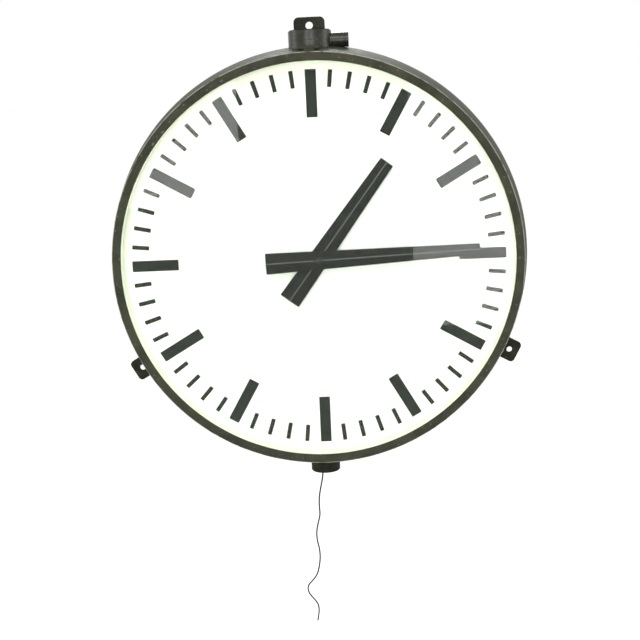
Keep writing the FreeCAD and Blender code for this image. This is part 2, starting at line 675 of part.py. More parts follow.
def make_gland_nut():
    body = new_body("gland_nut", TO_THE_RIGHT, up="gland_height")
    end = "gland_end + gland_nut_length"
    bevel = "gland_nut_bevel"
    turn(body, [("gland_nut_bore", "gland_end"), (f"gland_nut_radius - {bevel}", "gland_end"),
                ("gland_nut_radius", f"gland_end + {bevel}"), ("gland_nut_radius", f"{end} - {bevel}"),
                (f"gland_nut_radius - {bevel}", end), ("gland_nut_bore", end)])
    return body


def make_guy_lug(name, angle):
    body = new_body(name, FRONT, turned_by=-size(angle))
    sketch = new_sketch(body, "XY_Plane")
    draw(sketch, box_corners("-guy_width / 2", "seam_radius - case_wall * 2",
                             "guy_width / 2", "guy_reach"))
    pad(body, sketch, "guy_thickness", both_ways=True)
    reach = size("guy_reach")
    round_edges(body, "guy_corner", lambda middle: abs(middle.y - reach) < 0.01 and abs(middle.x) > 1)
    sketch = new_sketch(body, "XY_Plane")
    draw_circle(sketch, "0", "guy_hole_centre", "guy_hole")
    pocket(body, sketch, "guy_thickness * 2", both_ways=True)
    cut_to_case(body, "XZ_Plane")
    return body


def make_bottom_cap():
    body = new_body("bottom_cap", UPRIGHT, right="-cap_shift")
    top = "-(rim_radius - case_wall)"
    floor = "cap_wall - cap_bottom"
    turn(body, [("0", "-cap_bottom"), ("cap_radius - cap_corner", "-cap_bottom"),
                ("cap_radius", "cap_corner - cap_bottom"), ("cap_radius", top),
                ("cap_radius - cap_wall", top), ("cap_radius - cap_wall", floor), ("0", floor)],
         arcs={1: "-cap_corner"})
    cut_to_case(body, "XY_Plane", across="cap_shift")
    sketch = new_sketch(body, "XY_Plane", "-cap_bottom - cut_clear")
    draw_circle(sketch, "cap_shift - grommet_shift", "0", "grommet_neck")
    pocket(body, sketch, "cap_wall + 2 * cut_clear", forward=True)
    return body


def make_cord_grommet():
    body = new_body("cord_grommet", UPRIGHT, right="-grommet_shift")
    low = "-cap_bottom - grommet_flange_height"
    floor = "cap_wall - cap_bottom"
    turn(body, [("cord_radius", low), ("grommet_flange - grommet_bevel", low),
                ("grommet_flange", "-cap_bottom"), ("grommet_neck", "-cap_bottom"),
                ("grommet_neck", floor), ("grommet_flange", floor),
                ("grommet_flange", f"{floor} + grommet_flange_height"),
                ("cord_radius", f"{floor} + grommet_flange_height")])
    return body


# ---------------------------------------------------------------- cords

# The free cord's route as the photograph shows it: right, towards the back, and up from where it
# leaves the grommet. It hangs, and ends cut off.
CORD_ROUTE = [
    (0.0, 0.0, -8.8), (-4.2, -1.2, -26.6), (-7.6, -1.6, -43.2), (-8.3, -1.0, -59.8),
    (-7.4, 0.4, -74.8), (-11.4, 1.6, -88.4), (-14.8, 2.2, -104.0), (-14.2, 1.6, -118.6),
    (-10.8, 0.2, -132.4), (-10.3, -1.4, -147.0), (-12.6, -2.6, -161.6), (-16.4, -3.0, -175.0),
    (-24.6, -2.4, -185.0), (-33.0, -1.2, -194.0), (-32.2, 0.2, -206.2), (-24.8, 1.4, -216.4),
    (-16.8, 2.0, -227.0), (-16.0, 2.4, -241.8), (-19.4, 2.6, -256.0),
]
# The lead inside the case runs from the grommet's outer face to the terminal block.
LEAD_MIDDLE = [(-12.0, 0.0, -270.0), (-46.0, 0.0, -205.0), (-78.0, 0.0, -140.0), (-90.0, -3.0, -80.0)]


def corner_arc(before, corner, after):
    """The arc at one corner of a route, as large as its two runs allow."""
    back = before - corner
    ahead = after - corner
    shorter = min(back.Length, ahead.Length)
    half_turn = (math.pi - back.getAngle(ahead)) / 2
    radius = 0.45 * shorter / math.tan(half_turn)
    back.normalize()
    ahead.normalize()
    reach = radius * math.tan(half_turn)
    inward = (back + ahead).normalize()
    crest = corner + inward * (radius / math.cos(half_turn) - radius)
    return Part.Arc(corner + back * reach, crest, corner + ahead * reach), radius


def make_tube(name, points, radius):
    """A round tube along straight runs that tangent arcs join."""
    edges = []
    radii = []
    place = points[0]
    for before, corner, after in zip(points, points[1:], points[2:]):
        arc, arc_radius = corner_arc(before, corner, after)
        edges.append(Part.LineSegment(place, arc.toShape().firstVertex().Point).toShape())
        edges.append(arc.toShape())
        place = arc.toShape().lastVertex().Point
        radii.append(arc_radius)
    edges.append(Part.LineSegment(place, points[-1]).toShape())
    path = Part.Wire(edges)
    ring = Part.Wire([Part.Circle(points[0], points[1] - points[0], radius).toShape()])
    tube = path.makePipeShell([ring], True, True)
    feature = doc.addObject("Part::Feature", name)
    feature.Label = name
    feature.Shape = tube
    share = tube.Volume / (math.pi * radius * radius * path.Length)
    print(f"{name}: {path.Length:.1f} mm long, smallest radius {min(radii):.1f}, "
          f"largest {max(radii):.1f}, volume over section times length {share:.4f}")
    return feature


def make_supply_cord():
    way_out = Vector(-size("grommet_shift"), 0, -size("cap_bottom + grommet_flange_height + hang_drop"))
    points = [way_out] + [way_out + Vector(step) for step in CORD_ROUTE]
    return make_tube("supply_cord", points, size("cord_radius"))


def make_inner_lead():
    drop = size("hang_drop")
    shift = size("grommet_shift")
    exit_height = -size("cap_bottom + grommet_flange_height")
    entry = Vector(-size("block_start + block_length / 2"),
                   -size("bar_thickness / 2 + block_depth / 2"), -size("block_height / 2"))
    points = [Vector(-shift, 0, exit_height), Vector(-shift, 0, exit_height + size("lead_rise"))]
    points += [Vector(x, y, z) for x, y, z in LEAD_MIDDLE]
    points += [entry - Vector(0, 0, size("lead_drop")), entry]
    points = [point - Vector(0, 0, drop) for point in points]
    return make_tube("inner_lead", points, size("cord_radius"))


# ---------------------------------------------------------------- bar, lamps and wiring

def make_movement_bar():
    body = new_body("movement_bar", FRONT)
    sketch = new_sketch(body, "XY_Plane")
    draw(sketch, box_corners("-bar_half_length", "-bar_half_height", "bar_half_length", "bar_half_height"))
    for across in ("bar_screw_x", "-bar_screw_x"):
        for up in ("bar_screw_y", "-bar_screw_y"):
            draw_circle(sketch, across, up, "bar_screw_radius + bar_screw_play")
    pad(body, sketch, "bar_thickness", both_ways=True)
    return body


def make_bar_screws():
    body = new_body("bar_screws", FRONT)
    places = [(across, up) for across in ("bar_screw_x", "-bar_screw_x")
              for up in ("bar_screw_y", "-bar_screw_y")]
    sketch = new_sketch(body, "XY_Plane", "bar_thickness / 2")
    for across, up in places:
        draw_circle(sketch, across, up, "bar_screw_head")
    pad(body, sketch, "bar_screw_height")
    sketch = new_sketch(body, "XY_Plane", "-bar_thickness / 2 - bar_screw_grip")
    for across, up in places:
        draw_circle(sketch, across, up, "bar_screw_radius")
    pad(body, sketch, "bar_screw_grip + bar_thickness")
    return body


def make_lamp(side, rotation):
    lamp = doc.addObject("Part::Torus", f"{side}_lamp")
    bind(lamp, "Radius1", "lamp_radius")
    bind(lamp, "Radius2", "lamp_tube")
    lamp.Placement = Placement(Vector(), rotation)
    toward = -1 if side == "front" else 1
    bind(lamp, "Placement.Base.y", f"{toward} * lamp_depth")
    bind(lamp, "Placement.Base.z", "-hang_drop")
    return lamp


def make_clips(side, rotation):
    body = new_body(f"{side}_clips", rotation)
    sketch = new_sketch(body, "XY_Plane", "bar_thickness / 2")
    for middle in ("lamp_radius", "-lamp_radius"):
        draw(sketch, box_corners(f"{middle} - clip_half_length", "-clip_half_height",
                                 f"{middle} + clip_half_length", "clip_half_height"))
    pad(body, sketch, "lamp_depth - bar_thickness / 2")
    sketch = new_sketch(body, "XZ_Plane")
    draw_circle(sketch, "lamp_radius", "lamp_depth", "lamp_tube")
    groove = body.newObject("PartDesign::Groove", f"{body.Name}_cradle")
    groove.Profile = sketch
    groove.ReferenceAxis = (sketch, ["V_Axis"])
    groove.Angle = 360
    finish_feature(body, groove)
    return body


def make_ballast():
    body = new_body("ballast", FRONT)
    low = "bar_thickness / 2"
    end = "(ballast_start + ballast_length)"
    sketch = new_sketch(body, "XY_Plane", low)
    draw(sketch, box_corners("ballast_start", "-ballast_height / 2", end, "ballast_height / 2"))
    pad(body, sketch, "ballast_depth - ballast_lid")
    sketch = new_sketch(body, "XY_Plane", f"{low} + ballast_depth - ballast_lid")
    draw(sketch, box_corners("ballast_start + ballast_lid", "ballast_lid - ballast_height / 2",
                             f"{end} - ballast_lid", "ballast_height / 2 - ballast_lid"))
    pad(body, sketch, "ballast_lid")
    return body


def make_terminal_block():
    body = new_body("terminal_block", FRONT)
    low = "bar_thickness / 2"
    sketch = new_sketch(body, "XY_Plane", low)
    draw(sketch, box_corners("-block_start - block_length", "-block_height / 2",
                             "-block_start", "block_height / 2"))
    pad(body, sketch, "block_depth")
    for way in range(int(size("block_ways"))):
        sketch = new_sketch(body, "XY_Plane", f"{low} + block_depth")
        draw_circle(sketch, f"-block_start - block_length * ({way} + 1 / 2) / block_ways", "0", "block_bore")
        pocket(body, sketch, "block_bore_depth")
    return body


def make_dial_screws(side, rotation):
    body = new_body(f"{side}_dial_screws", rotation)
    sketch = new_sketch(body, "XY_Plane", DIAL_FRONT)
    draw_circle(sketch, *DIAL_SCREW_AT, "dial_screw_head")
    head = pad(body, sketch, "dial_screw_height")
    ring_of(body, head, "dial_screw_count")
    sketch = new_sketch(body, "XY_Plane", f"{LEDGE_BACK} - cut_clear")
    draw_circle(sketch, *DIAL_SCREW_AT, "dial_screw_radius")
    shank = pad(body, sketch, f"{DIAL_FRONT} - {LEDGE_BACK} + cut_clear")
    ring_of(body, shank, "dial_screw_count")
    return body


# ---------------------------------------------------------------- dial

def bar_on_dial(sketch, angle, length, width):
    """One rectangular mark at an angle past 12, with its outer end on the marks' circle."""
    corners = []
    for reach, side in (("mark_radius", "-"), ("mark_radius", ""),
                        (f"(mark_radius - {length})", ""), (f"(mark_radius - {length})", "-")):
        across = f"{reach} * sin({angle} deg) + {side}{width} / 2 * cos({angle} deg)"
        up = f"{reach} * cos({angle} deg) - {side}{width} / 2 * sin({angle} deg)"
        corners.append((across, up))
    draw(sketch, corners)


def make_dial(side, rotation):
    body = new_body(f"{side}_dial", rotation)
    turn(body, [("dial_hole", "ledge_depth"), ("dial_radius", "ledge_depth"),
                ("dial_radius", DIAL_FRONT), ("dial_hole", DIAL_FRONT)])
    sketch = new_sketch(body, "XY_Plane", DIAL_FRONT)
    draw_circle(sketch, *DIAL_SCREW_AT, "dial_screw_radius + dial_screw_play")
    ring_of(body, pocket(body, sketch, "dial_thickness + cut_clear"), "dial_screw_count")
    return body


def make_dial_marks(side, rotation):
    """Twelve hour bars and the forty-eight minute bars between them."""
    body = new_body(f"{side}_dial_marks", rotation)
    sketch = new_sketch(body, "XY_Plane", DIAL_FRONT)
    bar_on_dial(sketch, 0, "hour_mark_length", "hour_mark_width")
    for minute in range(1, 5):
        bar_on_dial(sketch, 6 * minute, "minute_mark_length", "minute_mark_width")
    ring_of(body, pad(body, sketch, "mark_height"), "12")
    return body


# ---------------------------------------------------------------- door

def make_bezel(side, rotation):
    body = new_body(f"{side}_bezel", rotation)
    turn(body, [
        (flank(DOOR_START), DOOR_START), (inner(DOOR_START), DOOR_START),
        (inner(LIP_BACK), LIP_BACK), ("opening_radius", LIP_BACK),
        ("opening_radius", "lip_depth"), ("rim_radius", "rim_depth"),
    ], arcs={4: "nose_radius"})

    # pips that the reveal ring's flange snaps behind
    sketch = new_sketch(body, "XY_Plane", f"{FLANGE_BACK} - pip_depth")
    inside = f"({inner(FLANGE_BACK)} - pip_reach)"
    outside = f"({inner(FLANGE_BACK)} + case_wall / 2)"
    draw(sketch, box_corners(inside, "-pip_width / 2", outside, "pip_width / 2"))
    ring_of(body, pad(body, sketch, "pip_depth"), "pip_count")

    # hinge knuckle at the top
    sketch = new_sketch(body, "YZ_Plane")
    draw(sketch, box_corners(f"{flank('hinge_depth')} - case_wall / 2", "hinge_depth - web_half",
                             HINGE_HEIGHT, "hinge_depth + web_half"))
    pad(body, sketch, "2 * knuckle_half", both_ways=True)
    sketch = new_sketch(body, "YZ_Plane")
    draw_circle(sketch, HINGE_HEIGHT, "hinge_depth", "barrel_radius")
    pad(body, sketch, "2 * knuckle_half", both_ways=True)
    sketch = new_sketch(body, "YZ_Plane")
    draw_circle(sketch, HINGE_HEIGHT, "hinge_depth", "pin_radius + pin_clearance")
    pocket(body, sketch, "4 * knuckle_half", both_ways=True)

    # boss and hole for the latch screw at the bottom
    sketch = new_sketch(body, "XZ_Plane", HEAD_SEAT)
    draw_circle(sketch, "0", "latch_depth", "latch_boss")
    boss = pad(body, sketch, "latch_boss_rise + case_wall / 2")
    boss.Reversed = True
    sketch = new_sketch(body, "XZ_Plane", f"{HEAD_SEAT} + cut_clear")
    draw_circle(sketch, "0", "latch_depth", "latch_shank + latch_play")
    pocket(body, sketch, "case_wall * 3")
    return body


def make_cover_glass(side, rotation):
    body = new_body(f"{side}_cover_glass", rotation)
    edge = "glass_bevel"
    turn(body, [("0", GLASS_BACK), (f"glass_radius - {edge}", GLASS_BACK),
                ("glass_radius", f"{GLASS_BACK} + {edge}"), ("glass_radius", f"{GLASS_FRONT} - {edge}"),
                (f"glass_radius - {edge}", GLASS_FRONT), ("0", GLASS_FRONT)])
    return body


def make_glass_gasket(side, rotation):
    body = new_body(f"{side}_glass_gasket", rotation)
    start = "(opening_radius + gasket_inset)"
    turn(body, [(start, GLASS_FRONT), (f"{start} + gasket_width", GLASS_FRONT),
                (f"{start} + gasket_width", LIP_BACK), (start, LIP_BACK)])
    return body


def make_reveal_ring(side, rotation):
    """White sheet ring: its flange holds the glass, its skirt reaches back to the dial."""
    body = new_body(f"{side}_reveal_ring", rotation)
    skirt_end = f"({DIAL_FRONT} + reveal_clearance)"
    flange_edge = f"({inner(GLASS_BACK)} - flange_clearance)"
    outer = "reveal_radius + reveal_wall"
    turn(body, [("reveal_radius", skirt_end), (outer, skirt_end), (outer, FLANGE_BACK),
                (flange_edge, FLANGE_BACK), (flange_edge, GLASS_BACK), ("reveal_radius", GLASS_BACK)])
    return body


def make_latch_screw(side, rotation):
    """Its Z points down, out of the door's flank."""
    body = doc.addObject("PartDesign::Body", f"{side}_latch_screw")
    body.Label = f"{side}_latch_screw"
    body.Placement = Placement(Vector(), Rotation(Vector(1, 0, 0), 180))
    toward = -1 if side == "front" else 1
    bind(body, "Placement.Base.y", f"{toward} * latch_depth")
    bind(body, "Placement.Base.z", "-hang_drop")
    start = f"({COLLAR_RADIUS} - latch_collar_height)"
    top = f"({HEAD_SEAT} + latch_head_height)"
    turn(body, [("0", start), ("latch_collar", start), ("latch_collar", COLLAR_RADIUS),
                ("latch_shank", COLLAR_RADIUS), ("latch_shank", HEAD_SEAT), ("latch_head", HEAD_SEAT),
                ("latch_head", f"{top} - latch_bevel"), ("latch_head - latch_bevel", top), ("0", top)])
    sketch = new_sketch(body, "XY_Plane", top)
    draw(sketch, box_corners("-latch_head - cut_clear", "-latch_slot / 2",
                             "latch_head + cut_clear", "latch_slot / 2"))
    pocket(body, sketch, "latch_head_height / 2")
    return body


def make_hinge_leaf(side, rotation):
    body = new_body(f"{side}_hinge_leaf", rotation)
    arm_low = f"({flank('split_depth')} + leaf_rise)"
    arm_top = f"({arm_low} + leaf_thickness)"
    arm_end = "(hinge_depth - barrel_radius - leaf_knuckle_gap)"
    inside_case = f"({inner('leaf_back_depth')} - leaf_embed)"
    sketch = new_sketch(body, "YZ_Plane")
    draw(sketch, [(inside_case, "leaf_back_depth"), (f"{flank('leaf_back_depth')} + leaf_thickness",
                                                     "leaf_back_depth"),
                  (arm_top, arm_end), (arm_low, arm_end), (arm_low, "split_depth"),
                  (inside_case, "split_depth")])
    pad(body, sketch, "2 * leaf_half", both_ways=True)
    cut_to_case(body, "XZ_Plane", depth="split_depth")
    start = "(knuckle_half + knuckle_gap)"
    for side_of_knuckle in (f"{start}", "-leaf_half"):
        sketch = new_sketch(body, "YZ_Plane", side_of_knuckle)
        draw(sketch, box_corners(arm_low, f"{arm_end} - leaf_overlap", arm_top, "hinge_depth"))
        pad(body, sketch, f"leaf_half - {start}")
        sketch = new_sketch(body, "YZ_Plane", side_of_knuckle)
        draw_circle(sketch, HINGE_HEIGHT, "hinge_depth", "barrel_radius")
        pad(body, sketch, f"leaf_half - {start}")
    sketch = new_sketch(body, "YZ_Plane")
    draw_circle(sketch, HINGE_HEIGHT, "hinge_depth", "pin_radius")
    pocket(body, sketch, "4 * leaf_half", both_ways=True)
    return body


def make_hinge_pin(side, rotation):
    body = new_body(f"{side}_hinge_pin", rotation)
    sketch = new_sketch(body, "YZ_Plane")
    draw_circle(sketch, HINGE_HEIGHT, "hinge_depth", "pin_radius")
    pad(body, sketch, "2 * leaf_half + 2 * pin_overhang", both_ways=True)
    return body


# ---------------------------------------------------------------- hands

def make_hand(name, rotation, angle, plane, reach, tail, tip_width, tail_width, bore, nut=False):
    """A folded sheet hand: a taper with a raised fold line and a collet behind it."""
    body = new_body(name, rotation, turned_by=-size(angle))
    sections = []
    for along, width in ((f"{tail}", tail_width), (f"-{reach}", tip_width)):
        sketch = new_sketch(body, "XZ_Plane", along)
        draw(sketch, [(f"-{width} / 2", plane), ("0", f"{plane} + hand_rise"), (f"{width} / 2", plane),
                      (f"{width} / 2", f"{plane} - hand_sheet"), ("0", f"{plane} + hand_rise - hand_sheet"),
                      (f"-{width} / 2", f"{plane} - hand_sheet")])
        sections.append(sketch)
    loft = body.newObject("PartDesign::AdditiveLoft", f"{name}_sheet")
    loft.Profile = sections[0]
    loft.Sections = [sections[1]]
    loft.Ruled = True
    finish_feature(body, loft)
    sketch = new_sketch(body, "XY_Plane", f"{plane} + collet_rise - collet_height")
    draw_circle(sketch, "0", "0", "collet_radius")
    pad(body, sketch, "collet_height")
    sketch = new_sketch(body, "XY_Plane", f"{plane} - collet_height")
    draw_circle(sketch, "0", "0", bore)
    pocket(body, sketch, "collet_height * 3", forward=True)
    if nut:
        sketch = new_sketch(body, "XY_Plane", f"{plane} + collet_rise")
        draw_circle(sketch, "0", "0", "nut_radius + nut_play")
        pocket(body, sketch, "hand_rise * 2", forward=True)
    return body


def make_hub_nut(side, rotation):
    body = new_body(f"{side}_hub_nut", rotation)
    seat = "(minute_plane + collet_rise)"
    top = f"({seat} + nut_height)"
    roof = f"({top} - nut_roof)"
    turn(body, [("arbor_radius", seat), ("nut_radius", seat), ("nut_radius", f"{top} - nut_round"),
                ("nut_radius - nut_round", top), ("0", top), ("0", roof), ("arbor_radius", roof)],
         arcs={2: "-nut_round"})
    return body


# ---------------------------------------------------------------- movement

CANNON_TEETH, MOTION_TEETH = 10, 30
MOTION_PINION, HOUR_TEETH = 8, 32
MINUTE_TEETH, DRIVE_PINION = 60, 12
DRIVE_TEETH, ROTOR_PINION = 60, 10
# A tooth in modules: below and above the pitch circle, sunk into the disc, half as wide at its
# foot and at its end.
TOOTH_ROOT, TOOTH_TIP, TOOTH_SINK = 1.1, 0.8, 0.4
TOOTH_FOOT, TOOTH_END = 0.8, 0.28
# Directions seen from a wheel's viewer, in degrees up from the right.
LEFT, UP, DOWN = 180, 90, 270

BACK_PLATE = "(bar_thickness / 2)"
PLATES_START = f"({BACK_PLATE} + plate_thickness)"
PLATES_END = f"({PLATES_START} + pillar_length)"
TRAIN_FRONT = f"({PLATES_END} + plate_thickness)"
MOTION_REACH = f"(motion_module * {(CANNON_TEETH + MOTION_TEETH) / 2})"
MOTION_AT = (f"({MOTION_REACH} * cos(motion_angle * 1 deg))",
             f"({MOTION_REACH} * sin(motion_angle * 1 deg))")
DRIVE_AT = ("0", f"(-train_module * {(MINUTE_TEETH + DRIVE_PINION) / 2})")
ROTOR_REACH = f"(rotor_module * {(DRIVE_TEETH + ROTOR_PINION) / 2})"
ROTOR_AT = (f"({ROTOR_REACH} * cos(rotor_angle * 1 deg))",
            f"({DRIVE_AT[1]} + {ROTOR_REACH} * sin(rotor_angle * 1 deg))")
HOUR_WHEEL_BACK = f"({TRAIN_FRONT} + hour_wheel_rise)"


def gear(body, teeth, module, start, length, first_tooth):
    """A toothed disc whose first tooth points first_tooth degrees up from the right."""
    root = f"({module} * ({teeth / 2} - {TOOTH_ROOT}))"
    tip = f"({module} * ({teeth / 2} + {TOOTH_TIP}))"
    foot = f"{root} - {TOOTH_SINK} * {module}"
    sketch = new_sketch(body, "XY_Plane", start)
    draw_circle(sketch, "0", "0", root)
    pad(body, sketch, length)
    sketch = new_sketch(body, "XY_Plane", start, turned_by=first_tooth)
    draw(sketch, [(foot, f"-{TOOTH_FOOT} * {module}"), (tip, f"-{TOOTH_END} * {module}"),
                  (tip, f"{TOOTH_END} * {module}"), (foot, f"{TOOTH_FOOT} * {module}")])
    ring_of(body, pad(body, sketch, length), str(teeth))


def rod(body, start, end, radius):
    sketch = new_sketch(body, "XY_Plane", start)
    draw_circle(sketch, "0", "0", radius)
    pad(body, sketch, f"({end}) - ({start})")


def bore_through(body, radius):
    sketch = new_sketch(body, "XY_Plane")
    draw_circle(sketch, "0", "0", radius)
    pocket(body, sketch, "rim_depth", forward=True)


def plate_outline(sketch):
    draw(sketch, box_corners("-plate_left", "-plate_bottom", "plate_right", "plate_top"))


def pillar_places():
    return [(across, up) for across in ("plate_corner - plate_left", "plate_right - plate_corner")
            for up in ("plate_corner - plate_bottom", "plate_top - plate_corner")]


STATOR_LEFT = f"({ROTOR_AT[0]} - rotor_radius - rotor_air - stator_web)"
STATOR_TOP = f"({ROTOR_AT[1]} + rotor_radius + rotor_air + stator_web)"
STATOR_RIGHT = f"({ROTOR_AT[0]} + rotor_radius + rotor_air + 2 * stator_web)"
STATOR_BOTTOM = f"({STATOR_TOP} - stator_height)"
COIL_MIDDLE = f"(({STATOR_LEFT} + {STATOR_RIGHT}) / 2)"
COIL_HALF = "(coil_length / 2)"
POST_PLACES = [
    (f"{STATOR_RIGHT} - post_radius - post_inset", f"{ROTOR_AT[1]} - rotor_radius - post_drop"),
    (f"{STATOR_LEFT} + post_radius + post_inset", f"{STATOR_BOTTOM} + stator_limb / 2"),
]


def make_back_plate(side, rotation):
    body = new_body(f"{side}_back_plate", rotation)
    sketch = new_sketch(body, "XY_Plane", BACK_PLATE)
    plate_outline(sketch)
    draw_circle(sketch, "0", "0", "back_journal + pin_clearance")
    draw_circle(sketch, *DRIVE_AT, "drive_journal + pin_clearance")
    draw_circle(sketch, *ROTOR_AT, "rotor_journal + pin_clearance")
    pad(body, sketch, "plate_thickness")
    sketch = new_sketch(body, "XY_Plane", PLATES_START)
    for across, up in pillar_places():
        draw_circle(sketch, across, up, "pillar_radius")
    pad(body, sketch, "pillar_length")
    sketch = new_sketch(body, "XY_Plane", PLATES_START)
    for across, up in POST_PLACES:
        draw_circle(sketch, across, up, "post_radius")
    pad(body, sketch, f"stator_start - {PLATES_START}")
    return body


def make_front_plate(side, rotation):
    body = new_body(f"{side}_front_plate", rotation)
    sketch = new_sketch(body, "XY_Plane", PLATES_END)
    plate_outline(sketch)
    draw_circle(sketch, "0", "0", "arbor_radius + pin_clearance")
    draw_circle(sketch, *DRIVE_AT, "drive_journal + pin_clearance")
    draw_circle(sketch, *ROTOR_AT, "rotor_journal + pin_clearance")
    pad(body, sketch, "plate_thickness")
    sketch = new_sketch(body, "XY_Plane", TRAIN_FRONT)
    draw_circle(sketch, *MOTION_AT, "stud_radius")
    pad(body, sketch, "stud_length")
    return body


def make_stator(side, rotation):
    body = new_body(f"{side}_stator", rotation)
    sketch = new_sketch(body, "XY_Plane", "stator_start")
    draw(sketch, box_corners(STATOR_LEFT, STATOR_BOTTOM, STATOR_RIGHT, STATOR_TOP))
    draw_circle(sketch, *ROTOR_AT, "rotor_radius + rotor_air")
    draw(sketch, box_corners(f"{COIL_MIDDLE} - {COIL_HALF} - coil_side_gap",
                             f"{STATOR_BOTTOM} + stator_limb",
                             f"{COIL_MIDDLE} + {COIL_HALF} + coil_side_gap",
                             f"{STATOR_BOTTOM} + stator_limb + coil_build + coil_top_gap"))
    pad(body, sketch, "stator_thickness")
    return body


def make_coil(side, rotation):
    """The winding: a thick square tube round the stator's lower limb."""
    body = new_body(f"{side}_coil", rotation)
    low = f"({STATOR_BOTTOM} - coil_build)"
    high = f"({STATOR_BOTTOM} + stator_limb + coil_build)"
    back = "(stator_start - coil_build + coil_step)"
    ahead = "(stator_start + stator_thickness + coil_build - coil_step)"
    sketch = new_sketch(body, "YZ_Plane", COIL_MIDDLE)
    draw(sketch, box_corners(low, back, high, ahead))
    draw(sketch, box_corners(STATOR_BOTTOM, "stator_start", f"{STATOR_BOTTOM} + stator_limb",
                             "stator_start + stator_thickness"))
    pad(body, sketch, "coil_length", both_ways=True)
    return body


def make_rotor(side, rotation):
    body = new_body(f"{side}_rotor", rotation, right=ROTOR_AT[0], up=ROTOR_AT[1])
    rod(body, "rotor_start", "rotor_start + rotor_length", "rotor_radius")
    rod(body, f"{BACK_PLATE} + 2 * end_shake", f"{TRAIN_FRONT} - end_shake", "rotor_journal")
    gear(body, ROTOR_PINION, "rotor_module", f"{PLATES_END} - rotor_pinion_back", "pinion_length",
         size("rotor_angle") + LEFT)
    return body


def make_drive_wheel(side, rotation):
    body = new_body(f"{side}_drive_wheel", rotation, right=DRIVE_AT[0], up=DRIVE_AT[1])
    rod(body, f"{PLATES_START} + end_shake", f"{PLATES_END} - end_shake", "drive_arbor")
    rod(body, f"{BACK_PLATE} + 2 * end_shake", f"{TRAIN_FRONT} - end_shake", "drive_journal")
    gear(body, DRIVE_PINION, "train_module", f"{PLATES_START} + drive_pinion_rise", "pinion_length", UP)
    half_step = 180 / DRIVE_TEETH
    gear(body, DRIVE_TEETH, "rotor_module", f"{PLATES_END} - drive_wheel_back", "wheel_thickness",
         size("rotor_angle") + half_step)
    return body


def make_minute_arbor(side, rotation):
    body = new_body(f"{side}_minute_arbor", rotation)
    tip = "minute_plane + collet_rise + nut_height - nut_roof - arbor_end_gap"
    rod(body, f"{PLATES_START} + end_shake", tip, "arbor_radius")
    rod(body, f"{BACK_PLATE} + 2 * end_shake", f"{PLATES_START} + 2 * end_shake", "back_journal")
    half_step = 180 / MINUTE_TEETH
    gear(body, MINUTE_TEETH, "train_module", f"{PLATES_START} + minute_wheel_rise", "wheel_thickness",
         DOWN + half_step)
    gear(body, CANNON_TEETH, "motion_module", f"{TRAIN_FRONT} + cannon_rise", "cannon_length",
         size("motion_angle"))
    return body


def make_motion_wheel(side, rotation):
    body = new_body(f"{side}_motion_wheel", rotation, right=MOTION_AT[0], up=MOTION_AT[1])
    toward_centre = size("motion_angle") + LEFT
    gear(body, MOTION_TEETH, "motion_module", f"{TRAIN_FRONT} + motion_rise", "wheel_thickness",
         toward_centre + 180 / MOTION_TEETH)
    gear(body, MOTION_PINION, "motion_module", f"{TRAIN_FRONT} + motion_rise", "motion_pinion_length",
         toward_centre)
    bore_through(body, "stud_radius + pin_clearance")
    return body


def make_hour_wheel(side, rotation):
    body = new_body(f"{side}_hour_wheel", rotation)
    gear(body, HOUR_TEETH, "motion_module", HOUR_WHEEL_BACK, "wheel_thickness",
         size("motion_angle") + 180 / HOUR_TEETH)
    rod(body, HOUR_WHEEL_BACK, "pipe_top", "arbor_radius + pipe_wall")
    bore_through(body, "arbor_radius + pin_clearance")
    return body


# ---------------------------------------------------------------- assembly

def pair(name, members):
    """Two separate identical pieces, one for each side, kept as one group."""
    group = doc.addObject("Part::Compound", name)
    group.Label = name
    group.Links = members
    return group


pieces = [
    make_case_ring(), make_boss_base(), make_boss_head(), make_boss_disc(), make_hanging_lug(),
    make_gland_body(), make_gland_seal(), make_gland_nut(),
    make_guy_lug("right_guy_lug", "right_guy_angle"), make_guy_lug("left_guy_lug", "left_guy_angle"),
    make_bottom_cap(), make_cord_grommet(), make_supply_cord(), make_inner_lead(),
    make_movement_bar(), make_bar_screws(), make_ballast(), make_terminal_block(),
    pair("ring_lamps", [make_lamp(side, rotation) for side, rotation in SIDES]),
    pair("lamp_clips", [make_clips(side, rotation) for side, rotation in SIDES]),
    pair("stators", [make_stator(side, rotation) for side, rotation in SIDES]),
    pair("coils", [make_coil(side, rotation) for side, rotation in SIDES]),
    pair("dial_screws", [make_dial_screws(side, rotation) for side, rotation in SIDES]),
    pair("hinge_leaves", [make_hinge_leaf(side, rotation) for side, rotation in SIDES]),
    pair("hinge_pins", [make_hinge_pin(side, rotation) for side, rotation in SIDES]),
]
for side, rotation in SIDES:
    pieces += [
        make_dial(side, rotation), make_dial_marks(side, rotation),
        make_bezel(side, rotation), make_cover_glass(side, rotation),
        make_glass_gasket(side, rotation), make_reveal_ring(side, rotation),
        make_latch_screw(side, rotation),
        make_back_plate(side, rotation), make_front_plate(side, rotation),
        make_rotor(side, rotation),
        make_drive_wheel(side, rotation), make_minute_arbor(side, rotation),
        make_motion_wheel(side, rotation), make_hour_wheel(side, rotation),
        make_hand(f"{side}_minute_hand", rotation, "minute_angle", "minute_plane", "minute_reach",
                  "minute_tail", "minute_tip_width", "minute_tail_width", "arbor_radius", nut=True),
        make_hand(f"{side}_hour_hand", rotation, "hour_angle", "hour_plane", "hour_reach",
                  "hour_tail", "hour_tip_width", "hour_tail_width", "(arbor_radius + pipe_wall)"),
        make_hub_nut(side, rotation),
    ]

doc.recompute()

